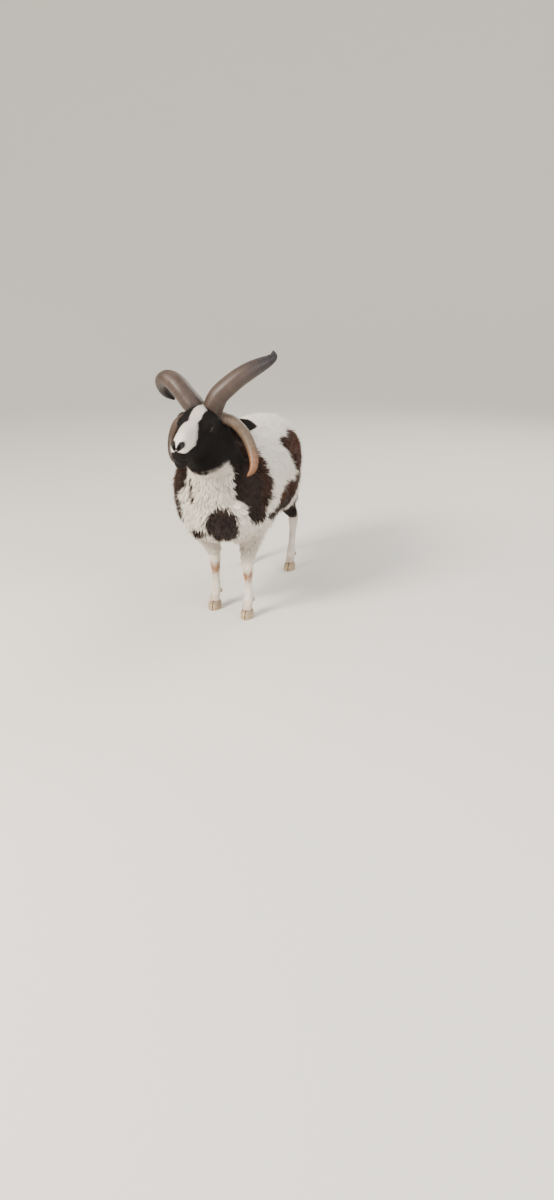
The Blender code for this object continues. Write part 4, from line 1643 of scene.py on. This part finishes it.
@dataclass
class Horn:
    """One horn with its growth rings, which are uneven along it. Heights and pitches are in metres."""

    size: HornSize
    longest: float = 0.6
    fine_height: float = 0.00014
    fine_pitch: float = 0.0019
    flute_height: float = 0.00035
    flutes: int = 11
    year_height: float = 0.0009
    smooth_from: tuple[float, float] = (0.66, 0.90)
    blunt_from: float = 0.972
    blunt_over: float = 0.028
    inset: float = 0.0002
    least: float = 0.0004

    def build(self, finish: bpy.types.Material) -> None:
        """Make the horn, in place.

        Args:
            finish: Its material.
        """
        size = self.size
        rng = np.random.default_rng(SEED + len(size.path) * 7 + int(size.path[0][0] * 1000))
        centres, radii = size.stations(size.rings)
        run = unit(np.gradient(centres, axis=0))
        distance = np.concatenate(((0.0,), np.cumsum(np.linalg.norm(np.diff(centres, axis=0), axis=1))))
        along = distance / distance[-1]

        def uneven(spacing: float, low: float, high: float) -> Array:
            """Random values at a spacing along the horn, read at each ring of points."""
            at = np.arange(0, self.longest, spacing)
            return np.interp(distance, at, rng.uniform(low, high, len(at)))

        pace = 1.0 + 0.32 * uneven(0.012, -1, 1)
        phase = np.cumsum(np.gradient(distance) * pace / (size.ring_pitch * (1.0 + 0.7 * along)))
        strength = uneven(0.007, 0.25, 1.30)
        tones = rng.uniform(0, 1, 400)
        year = uneven(0.034, -1, 1)
        across = np.array((0.0, 1.0, 0.0))
        turn = np.linspace(0, math.tau, size.sides, endpoint=False)
        rows, paints = [], []
        for k, share in enumerate(along):
            across = unit(across - (across @ run[k]) * run[k])
            up = np.cross(across, run[k])
            wobble = 0.22 * np.sin(turn + 1.3 * k / size.rings * math.tau) + 0.12 * np.sin(3 * turn)
            wave = np.abs(np.sin(math.pi * (phase[k] + wobble))) ** 0.8 - 0.6
            fade = (1.0 - 0.85 * float(ease(*self.smooth_from, share))) * strength[k]
            fine = self.fine_height * math.sin(distance[k] / self.fine_pitch * math.tau) * fade
            flute = self.flute_height * np.sin(self.flutes * turn + 2.0 * np.sin(5 * share)) * (1 - share)
            bulge = self.year_height * year[k] * (1 - share)
            blunt = math.sqrt(max(0.0, 1.0 - (max(0.0, share - self.blunt_from) / self.blunt_over) ** 2))
            radius = radii[k] - self.inset + size.ring_height * wave * fade + fine + flute + bulge
            radius = np.maximum(radius * blunt, self.least)
            ring = centres[k] + across * (np.cos(turn) * radius)[:, None]
            rows.append(ring + up * (np.sin(turn) * radius * size.oval)[:, None])
            # How deep each point lies in a groove between rings, which the finish paints darker as shade
            groove = np.clip(0.5 - wave * fade, 0, 1)
            paints.append(painted_ring(share, groove, tones[(phase[k] + wobble).astype(int)]))
        points = HEAD.outward(np.vstack(rows))
        horn = tube_object(size.name, points, size.sides, "horn", np.vstack(paints))
        dress(horn, finish, "horn", size.name)


@dataclass
class Eyeball:
    """One eyeball with its iris and level pupil, in metres."""

    axes: EyeAxes
    name: str
    rings: int = 60
    sides: int = 80
    iris: float = 0.0094
    pupil_half: tuple[float, float] = (0.0064, 0.0031)
    rim: float = 0.0011
    bulge: float = 0.0008
    bulge_angle: float = 0.60

    def build(self, finish: bpy.types.Material) -> None:
        """Make the eyeball, in place.

        Args:
            finish: Its material.
        """
        polar = math.pi * (0.004 + 0.992 * np.linspace(0, 1, self.rings) ** 1.5)[:, None]
        turn = np.linspace(0, math.tau, self.sides, endpoint=False)[None]
        reach = EYE_RADIUS + self.bulge * np.exp(-((polar / self.bulge_angle) ** 2))
        fore = reach * np.sin(polar) * np.cos(turn)
        above = reach * np.sin(polar) * np.sin(turn)
        out = reach * np.cos(polar) * np.ones_like(turn)
        axes = self.axes
        local = axes.centre + out[..., None] * axes.out + fore[..., None] * axes.fore
        local = local + above[..., None] * axes.above
        slot = (np.abs(fore) / self.pupil_half[0]) ** 2.6 + (np.abs(above) / self.pupil_half[1]) ** 2.6
        pupil = ease(1.35, 0.75, slot) * (out > 0)
        from_axis = np.sqrt(fore**2 + above**2)
        iris = ease(self.iris * 1.04, self.iris * 0.93, from_axis) * (out > 0)
        rim = np.exp(-(((from_axis - self.iris * 0.95) / self.rim) ** 2)) * (out > 0)
        rays = 0.5 + 0.25 * np.sin(turn * 37 + 3 * np.sin(turn * 5)) + 0.25 * np.sin(from_axis * 2600)
        values = np.stack((pupil, iris, rim, np.clip(rays, 0, 1)), axis=2).reshape(-1, 4)
        points = HEAD.outward(local.reshape(-1, 3))
        dress(tube_object(self.name, points, self.sides, "eye", values), finish, "eye", self.name)


CLAW_OUTLINE = (
    (0.0, 0.40), (0.35, 0.46), (0.85, 0.34), (1.0, 0.05),
    (0.90, -0.28), (0.50, -0.52), (0.12, -0.60), (0.0, -0.50),
)


@dataclass
class Hoof:
    """The two claws and two dewclaws of one foot, in metres."""

    foot: str
    length: float = 0.060
    width: float = 0.024
    top: float = 0.047
    cleft_half: float = 0.0012
    levels: int = 26
    sides: int = 56
    slope_at: tuple[float, ...] = (0.0, 0.10, 0.5, 1.0, 1.4)
    slope: tuple[float, ...] = (0.985, 1.0, 0.97, 0.80, 0.62)
    band_height: float = 0.00022
    band_pitch: float = 0.0034
    dew_top: float = 0.075
    dew_drop: float = 0.021
    dew_radius: float = 0.0082
    dew_levels: int = 14
    dew_sides: int = 24

    def outline(self) -> Array:
        """Read the sole's edge as a smooth closed line.

        Returns:
            Places in shares of the claw's width and length, N by 2.
        """
        knots = np.array(CLAW_OUTLINE)
        at = np.linspace(0, len(knots), self.sides, endpoint=False)
        edge = smooth_line(np.vstack((knots[-1:], knots, knots[:2])), at)
        return np.column_stack((np.maximum(edge[:, 0], 0.0), edge[:, 1]))

    def claw(self, name: str, out: float, x: float, y: float, finish: bpy.types.Material) -> None:
        """Make one claw.

        Args:
            name: The node that it replaces.
            out: 1 for the claw on the left of the cleft and -1 for the other.
            x: The foot's middle on the floor, from right to left.
            y: The foot's middle on the floor, from front to back.
            finish: Its material.
        """
        across, ahead = self.outline().T
        rows, paints = [], []
        for level in range(self.levels):
            z = self.top * (level / (self.levels - 1)) ** 0.9
            share = z / CORONET_HEIGHT
            scale = float(np.interp(share, self.slope_at, self.slope))
            band = self.band_height * math.sin(z / self.band_pitch * math.tau) * (0.1 < share < 1.0)
            tuck = 1.0 - 0.62 * float(ease(0.024, self.top, z))
            width = self.width * (0.90 + 0.10 * scale) * tuck + band
            length = np.where(ahead < 0, ahead * scale, ahead) * self.length * (0.25 + 0.75 * tuck)
            edge = (out * (self.cleft_half + across * width) + x, length + 0.004 * share + y)
            rows.append(np.column_stack((*edge, np.full(self.sides, z))))
            paints.append(painted_ring(share, 0.5 + ahead, across))
        claw = tube_object(name, np.vstack(rows), self.sides, "claw", np.vstack(paints))
        dress(claw, finish, "claw", name)

    def dewclaw(self, name: str, out: float, x: float, y: float, finish: bpy.types.Material) -> None:
        """Make one dewclaw, a small blunt cone behind the fetlock.

        Args:
            name: The node that it replaces.
            out: 1 for the one on the left and -1 for the other.
            x: The foot's place on the floor, from right to left.
            y: The foot's place on the floor, from front to back.
            finish: Its material.
        """
        behind = y + (0.029 if self.foot.startswith("fore") else 0.047)
        turn = np.linspace(0, math.tau, self.dew_sides, endpoint=False)
        ring = np.column_stack((np.cos(turn) * 0.82, np.sin(turn), np.zeros(self.dew_sides)))
        rows, paints = [], []
        for level in range(self.dew_levels):
            t = level / (self.dew_levels - 1)
            radius = self.dew_radius * math.sin(math.acos(min(1.0, abs(2 * t - 1)))) ** 0.8 + 0.0002
            across, ahead = x + out * (0.013 + 0.001 * t), behind + 0.004 + 0.008 * t
            rows.append(np.array((across, ahead, self.dew_top - self.dew_drop * t)) + ring * radius)
            paints.append(np.tile((t, 0.5, 0.5, 1.0), (self.dew_sides, 1)))
        claw = tube_object(name, np.vstack(rows), self.dew_sides, "claw", np.vstack(paints))
        dress(claw, finish, "claw", name)

    def build(self, finish: bpy.types.Material) -> None:
        """Make the foot's claws and dewclaws.

        Args:
            finish: Their material.
        """
        x, y = (FEET[self.foot][k] + SHIFT[k] for k in (0, 1))
        foot_y = y - 0.008 if self.foot.startswith("fore") else y + 0.002
        outer = math.copysign(1, FEET[self.foot][0])
        for word, out in (("outer", outer), ("inner", -outer)):
            self.claw(f"claw_{self.foot}_{word}", out, x, foot_y, finish)
            self.dewclaw(f"dewclaw_{self.foot}_{word}", out, x, y, finish)


COLOUR = {"data_type": "RGBA"}
MULTIPLY = {"operation": "MULTIPLY"}


def add(
    tree: bpy.types.NodeTree, kind: str | bpy.types.Node, settings: dict | None = None, **inputs: object
) -> bpy.types.Node:
    """Add a node, or take the shader that is there, and fill its inputs.

    Args:
        tree: The material's nodes.
        kind: The node's type without ShaderNode in front, or the shader.
        settings: Its own properties.
        inputs: Values or other nodes' outputs by socket, with the socket's number after an underscore.

    Returns:
        The node.
    """
    node = tree.nodes.new("ShaderNode" + kind) if isinstance(kind, str) else kind
    for name, value in (settings or {}).items():
        setattr(node, name, value)
    for name, value in inputs.items():
        socket = node.inputs[int(name[1:])] if name[1:].isdigit() else node.inputs[name.replace("_", " ")]
        if isinstance(value, bpy.types.NodeSocket):
            tree.links.new(value, socket)
        else:
            socket.default_value = value
    return node


def new_material(name: str) -> tuple[bpy.types.Material, bpy.types.NodeTree, bpy.types.Node]:
    """Start a material.

    Args:
        name: Its name.

    Returns:
        The material, its nodes and its shader.
    """
    material = bpy.data.materials.new(name)
    material.use_nodes = True
    return material, material.node_tree, material.node_tree.nodes["Principled BSDF"]


@dataclass(frozen=True)
class WoolFinish:
    """Wool or hair: matt, soft at the edges, with painted shade that makes it darker between the tufts than
    at their tips.
    """

    name: str
    # The roots' colours are darkened by painted shade, for the shadow between the tufts
    white_root: str = "#e6dac6"
    white_tip: str = "#fdf9f0"
    tan_tip: str = "#a77650"
    black_root: str = "#0b0807"
    black_tip: str = "#21140d"
    rust_tip: str = "#57301c"
    roughness: float = 0.82
    sheen: float = 0.12
    fibre_depth: float = 0.0005

    def material(self) -> bpy.types.Material:
        """Build the material.

        Returns:
            The material, which reads the coat's own painted values.
        """
        material, tree, shader = new_material(self.name)
        coat = add(tree, "Attribute", {"attribute_name": "coat"})
        dark, along, shade = add(tree, "SeparateColor", Color=coat.outputs["Color"]).outputs
        stained = coat.outputs["Alpha"]
        strand = add(tree, "Attribute", {"attribute_name": "strand"})
        # Fibres run along each tuft, about 0.2 mm apart across it
        laid = add(tree, "Mapping", Vector=strand.outputs["Vector"], Scale=(11.0, 1.6, 60.0))
        fibre = add(tree, "TexNoise", Vector=laid.outputs["Vector"], Scale=1.0, Detail=3.0, Roughness=0.65)
        # Painted shade: the roots are painted darker than the tips, for the shadow they lie in between the
        # tufts, and sun and dirt colour only the tips
        height = add(tree, "MapRange", Value=along, From_Min=0.10, From_Max=0.85).outputs[0]
        white = add(tree, "Mix", COLOUR, _0=height, _6=linear(self.white_root), _7=linear(self.white_tip))
        pale = add(tree, "Mix", COLOUR, _0=stained, _6=white.outputs[2], _7=linear(self.tan_tip))
        tip = add(tree, "Mix", COLOUR, _0=stained, _6=linear(self.black_tip), _7=linear(self.rust_tip))
        black = add(tree, "Mix", COLOUR, _0=height, _6=linear(self.black_root), _7=tip.outputs[2])
        either = add(tree, "Mix", COLOUR, _0=dark, _6=pale.outputs[2], _7=black.outputs[2])
        noise = fibre.outputs[0]
        streak = add(tree, "MapRange", Value=noise, From_Min=0.30, From_Max=0.70, To_Min=0.87, To_Max=1.08)
        tone = add(tree, "MapRange", Value=shade, To_Min=0.88, To_Max=1.06)
        bright = add(tree, "Math", MULTIPLY, _0=streak.outputs[0], _1=tone.outputs[0])
        final = add(tree, "HueSaturation", Color=either.outputs[2], Value=bright.outputs[0])
        bump = add(tree, "Bump", Height=noise, Strength=0.5, Distance=self.fibre_depth)
        add(tree, shader, Base_Color=final.outputs[0], Normal=bump.outputs[0], Roughness=self.roughness,
            Specular_IOR_Level=0.16, Sheen_Weight=self.sheen, Sheen_Roughness=0.45)
        return material


@dataclass(frozen=True)
class SkinFinish:
    """Skin under the coat: close to the roots' colour, bare and black on lids, lips and nostrils, with
    painted shade near black in the nostrils' pits and the mouth's line.
    """

    name: str = "hide_under_wool"
    white: str = "#efe7da"
    black: str = "#100b09"
    tan: str = "#b58c64"
    bare: str = "#120e0d"
    # Painted shade, near black, in the nostrils' pits and the mouth's line
    hollow: str = "#040202"
    grain: float = 0.0004

    def material(self) -> bpy.types.Material:
        """Build the material.

        Returns:
            The material, which reads the skin's own painted values.
        """
        material, tree, shader = new_material(self.name)
        coat = add(tree, "Attribute", {"attribute_name": "coat"})
        dark, bare, hollow = add(tree, "SeparateColor", Color=coat.outputs["Color"]).outputs
        place = add(tree, "TexCoord")
        # Pores and short hairs about 1.5 mm apart
        grain = add(tree, "TexNoise", Vector=place.outputs["Object"], Scale=650.0, Detail=3.0).outputs[0]
        colour = linear(self.white)
        # The last share paints shade near black into the hollows of the nostrils and mouth
        shares = (coat.outputs["Alpha"], dark, bare, hollow)
        for share, over in zip(shares, (self.tan, self.black, self.bare, self.hollow)):
            colour = add(tree, "Mix", COLOUR, _0=share, _6=colour, _7=linear(over)).outputs[2]
        tone = add(tree, "MapRange", Value=grain, From_Min=0.3, From_Max=0.7, To_Min=0.86, To_Max=1.10)
        final = add(tree, "HueSaturation", Color=colour, Value=tone.outputs[0])
        bump = add(tree, "Bump", Height=grain, Strength=0.6, Distance=self.grain)
        # Bare skin is damp and takes a soft shine, and skin under hair takes none
        wet = add(tree, "MapRange", Value=bare, To_Min=0.80, To_Max=0.46)
        add(tree, shader, Base_Color=final.outputs[0], Normal=bump.outputs[0], Roughness=wet.outputs[0],
            Specular_IOR_Level=0.24)
        return material


@dataclass(frozen=True)
class HornFinish:
    """Horn: smooth and a little glossy on the crests, dull in the grooves between its growth rings, which are
    painted darker as shade.

    Its colour goes from root to middle, which it reaches at the share warm_start of its length, and to tip.
    """

    name: str
    root: str
    middle: str
    tip: str
    groove: str
    warm_start: float = 0.45

    def material(self) -> bpy.types.Material:
        """Build the material.

        Returns:
            The material, which reads each horn's painted values.
        """
        material, tree, shader = new_material(self.name)
        horn = add(tree, "Attribute", {"attribute_name": "horn"})
        along, groove, ring_tone = add(tree, "SeparateColor", Color=horn.outputs["Color"]).outputs
        place = add(tree, "TexCoord").outputs["Object"]
        # Blotches about 2 cm across, flaky spots about 5 mm across, and fine scratches
        blotch = add(tree, "TexNoise", Vector=place, Scale=48.0, Detail=4.0).outputs[0]
        flake = add(tree, "TexNoise", Vector=place, Scale=190.0, Detail=5.0).outputs[0]
        fine = add(tree, "TexNoise", Vector=place, Scale=420.0, Detail=3.0).outputs[0]
        early = add(tree, "MapRange", Value=along, From_Min=0.08, From_Max=self.warm_start)
        late = add(tree, "MapRange", Value=along, From_Min=self.warm_start, From_Max=0.92)
        # Painted shade: the grooves between the growth rings are painted darker
        cut = add(tree, "MapRange", Value=groove, From_Min=0.15, From_Max=0.95, To_Max=0.75)
        colour = linear(self.root)
        for share, over in ((early, self.middle), (late, self.tip), (cut, self.groove)):
            colour = add(tree, "Mix", COLOUR, _0=share.outputs[0], _6=colour, _7=linear(over)).outputs[2]
        tone = add(tree, "MapRange", Value=blotch, From_Min=0.3, From_Max=0.7, To_Min=0.78, To_Max=1.18)
        ring = add(tree, "MapRange", Value=ring_tone, To_Min=0.84, To_Max=1.14)
        flaky = add(tree, "MapRange", Value=flake, From_Min=0.35, From_Max=0.65, To_Min=0.80, To_Max=1.16)
        both = add(tree, "Math", MULTIPLY, _0=tone.outputs[0], _1=ring.outputs[0])
        whole = add(tree, "Math", MULTIPLY, _0=both.outputs[0], _1=flaky.outputs[0])
        final = add(tree, "HueSaturation", Color=colour, Value=whole.outputs[0])
        bump = add(tree, "Bump", Height=fine, Strength=0.45, Distance=0.0004)
        gloss = add(tree, "MapRange", Value=groove, To_Min=0.34, To_Max=0.66)
        add(tree, shader, Base_Color=final.outputs[0], Normal=bump.outputs[0], Roughness=gloss.outputs[0])
        return material


@dataclass(frozen=True)
class EyeFinish:
    """A wet eye: smooth enough for a sharp glint, with a dark amber iris and brown-black beyond it."""

    name: str = "wet_eye"
    iris: str = "#37220f"
    iris_dark: str = "#150c05"
    pupil: str = "#020202"
    white: str = "#1a110d"

    def material(self) -> bpy.types.Material:
        """Build the material.

        Returns:
            The material, which reads each eye's painted values.
        """
        material, tree, shader = new_material(self.name)
        eye = add(tree, "Attribute", {"attribute_name": "eye"})
        pupil, iris, rim = add(tree, "SeparateColor", Color=eye.outputs["Color"]).outputs
        ray = eye.outputs["Alpha"]
        rays = add(tree, "Mix", COLOUR, _0=ray, _6=linear(self.iris_dark), _7=linear(self.iris))
        colour = add(tree, "Mix", COLOUR, _0=iris, _6=linear(self.white), _7=rays.outputs[2]).outputs[2]
        for share in (rim, pupil):
            colour = add(tree, "Mix", COLOUR, _0=share, _6=colour, _7=linear(self.pupil)).outputs[2]
        # The cornea's own IOR and a tear film give the eye its glint
        add(tree, shader, Base_Color=colour, Roughness=0.08, IOR=1.376)
        return material


@dataclass(frozen=True)
class ClawFinish:
    """Claw horn: dull tan, with uneven darker bands across it and a darker top."""

    name: str = "claw_horn"
    pale: str = "#b8a384"
    dark: str = "#85705a"
    top: str = "#6b5747"

    def material(self) -> bpy.types.Material:
        """Build the material.

        Returns:
            The material, which reads each claw's painted values.
        """
        material, tree, shader = new_material(self.name)
        claw = add(tree, "Attribute", {"attribute_name": "claw"})
        height = add(tree, "SeparateColor", Color=claw.outputs["Color"]).outputs[0]
        place = add(tree, "TexCoord")
        # Growth bands about 3 mm apart, which the noise breaks up along the wall
        bands = add(tree, "Mapping", Vector=place.outputs["Object"], Scale=(30.0, 30.0, 330.0))
        noise = add(tree, "TexNoise", Vector=bands.outputs["Vector"], Scale=1.0, Detail=3.0).outputs[0]
        mixed = add(tree, "MapRange", Value=noise, From_Min=0.38, From_Max=0.64)
        high = add(tree, "MapRange", Value=height, From_Min=0.55, From_Max=1.1, To_Max=0.7)
        colour = linear(self.pale)
        for share, over in ((mixed, self.dark), (high, self.top)):
            colour = add(tree, "Mix", COLOUR, _0=share.outputs[0], _6=colour, _7=linear(over)).outputs[2]
        bump = add(tree, "Bump", Height=noise, Strength=0.5, Distance=0.0005)
        add(tree, shader, Base_Color=colour, Normal=bump.outputs[0], Roughness=0.55)
        return material


@dataclass(frozen=True)
class FloorFinish:
    """A plain pale painted studio floor: matt, so that it shows soft shadows and no reflection."""

    name: str = "studio_floor"
    colour: str = "#d9d6d0"

    def material(self) -> bpy.types.Material:
        """Build the material.

        Returns:
            The material.
        """
        material, tree, shader = new_material(self.name)
        add(tree, shader, Base_Color=linear(self.colour), Roughness=0.85)
        return material


@dataclass(frozen=True)
class Lamp:
    """A soft square light that looks at the ram."""

    name: str
    place: tuple[float, float, float]
    side: float
    power: float
    colour: str = "#ffffff"
    target: tuple[float, float, float] = (0.0, -0.1, 0.5)

    def build(self) -> None:
        """Hang the light and aim it."""
        data = bpy.data.lights.new(self.name, "AREA")
        data.shape = "SQUARE"
        data.size = self.side
        data.energy = self.power
        data.color = linear(self.colour)[:3]
        lamp = new_object(self.name, data)
        lamp.location = self.place
        lamp.rotation_euler = (Vector(self.target) - Vector(self.place)).to_track_quat("-Z", "Y").to_euler()


@dataclass(frozen=True)
class Studio:
    """The floor, the light and the camera. The floor bends up into a round wall."""

    floor_flat: float = 6.0
    wall_bend: float = 4.0
    wall_height: float = 10.0
    sides: int = 96
    bend_steps: int = 16
    sky_colour: str = "#eceae6"
    sky_strength: float = 1.25
    camera_place: tuple[float, float, float] = (1.0252, -3.4164, 1.29)
    camera_turn: tuple[float, float, float] = (69.6, 0.0, 14.0)
    lens: float = 25.98
    lamps: tuple[Lamp, ...] = (
        Lamp("key", (-2.6, -4.0, 3.7), 1.8, 720.0, "#fff5e8"),
        Lamp("fill", (3.8, -2.4, 2.4), 3.0, 150.0, "#f4f6ff"),
        Lamp("back", (1.6, 3.8, 3.6), 2.6, 150.0, "#fffaf2"),
    )

    def floor(self) -> None:
        """Lay the floor."""
        bend = np.linspace(0, math.pi / 2, self.bend_steps)
        out = np.concatenate(((0.02,), self.floor_flat + self.wall_bend * np.sin(bend)))
        up = np.concatenate(((0.0,), self.wall_bend * (1 - np.cos(bend))))
        out, up = np.append(out, out[-1]), np.append(up, self.wall_height)
        turn = np.linspace(0, math.tau, self.sides, endpoint=False)
        ring = np.column_stack((np.cos(turn), np.sin(turn), np.ones(self.sides)))
        points = np.vstack([ring * (r, r, z) for r, z in zip(out, up)])
        quads = ring_quads(len(out), self.sides)
        middle = [(i, i + 1, self.sides - 1) for i in range(self.sides - 2)]
        faces = np.vstack((quads[:, (2, 1, 0)], quads[:, (3, 2, 0)], middle))
        floor = new_object("floor", triangle_mesh("floor", points, faces))
        floor.data.materials.append(FloorFinish().material())

    def sky(self) -> None:
        """Fill the room with soft light from all round."""
        world = bpy.data.worlds.new("studio")
        world.use_nodes = True
        back = world.node_tree.nodes["Background"]
        back.inputs["Color"].default_value = linear(self.sky_colour)
        back.inputs["Strength"].default_value = self.sky_strength
        bpy.context.scene.world = world

    def camera(self) -> None:
        """Stand the camera at the photo's view."""
        data = bpy.data.cameras.new("camera")
        data.lens = self.lens
        data.sensor_width = 36.0
        data.sensor_fit = "AUTO"
        camera = new_object("camera", data)
        camera.location = self.camera_place
        camera.rotation_euler = [math.radians(a) for a in self.camera_turn]
        bpy.context.scene.camera = camera

    def build(self) -> None:
        """Set up the whole studio."""
        self.floor()
        self.sky()
        for lamp in self.lamps:
            lamp.build()
        self.camera()


def clear_defaults() -> None:
    """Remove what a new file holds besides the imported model."""
    ours = set(frame["nodes"].values()) | set(frame["bodies"].values())
    for obj in [o for o in bpy.data.objects if o not in ours]:
        bpy.data.objects.remove(obj)


def paint_skin(skin: bpy.types.Object, ground: Ground) -> None:
    """Give the skin the coat's markings, its bare places, and its hollows, where shade is painted.

    Args:
        skin: The skin.
        ground: The dense form that it was thinned from.
    """
    tree = point_tree(ground.points)
    nearest = np.array([tree.find(v.co)[1] for v in skin.data.vertices])
    outer, regions, bare = ground.outer[nearest], ground.regions[nearest], ground.bare[nearest]
    dark = np.maximum(MARKINGS.darkness(outer + ground.flow[nearest] * 0.01, regions), bare)
    stain = np.where(dark > 0.5, MARKINGS.rust(outer), MARKINGS.tan(outer, regions))
    paint(skin.data, "coat", np.column_stack((dark, bare, ground.hollow[nearest], stain)))


def main() -> None:
    """Build every piece in order."""
    logging.basicConfig(level=logging.INFO, format="%(message)s")
    clear_defaults()
    Studio().build()
    skin, ground = SkinMaker().build()
    paint_skin(skin, ground)
    dress(skin, SkinFinish().material(), "white_wool", *(region.name.lower() for region in Region))
    # Each horn's groove colour is painted shade in the grooves between its growth rings
    upper = HornFinish("horn_grey_brown", root="#3d2f28", middle="#4c3c33", tip="#17161b", groove="#17100d")
    tan = HornFinish(
        "horn_tan", root="#66574a", middle="#65523f", tip="#8a5730", groove="#33271d", warm_start=0.60
    )
    brown = HornFinish("horn_brown", root="#53433a", middle="#4c392d", tip="#2a1e17", groove="#201813")
    finishes = {"horn_lower_left": tan, "horn_lower_right": brown}
    for size in HORNS:
        Horn(size).build(finishes.get(size.name, upper).material())
    eye = EyeFinish().material()
    for axes, name in zip(EYE_AXES, ("eye_left", "eye_right")):
        Eyeball(axes, name).build(eye)
    claw = ClawFinish().material()
    for foot in FEET:
        Hoof(foot).build(claw)
    coat = Coat(ground)
    coat.fleece(WoolFinish("fleece_wool").material())
    # The short hair's own colours, with painted shade on the roots as in the fleece
    coat.short_hair(WoolFinish(
        "short_hair", white_root="#e4d9c8", white_tip="#fbf7f0", black_tip="#17100d", rust_tip="#24160f",
        roughness=0.55, sheen=0.04,
    ).material())
    LOG.info("coat: %d triangles", sum(len(piece.data.polygons) for piece in coat.made))


if __name__ == "__main__":
    main()
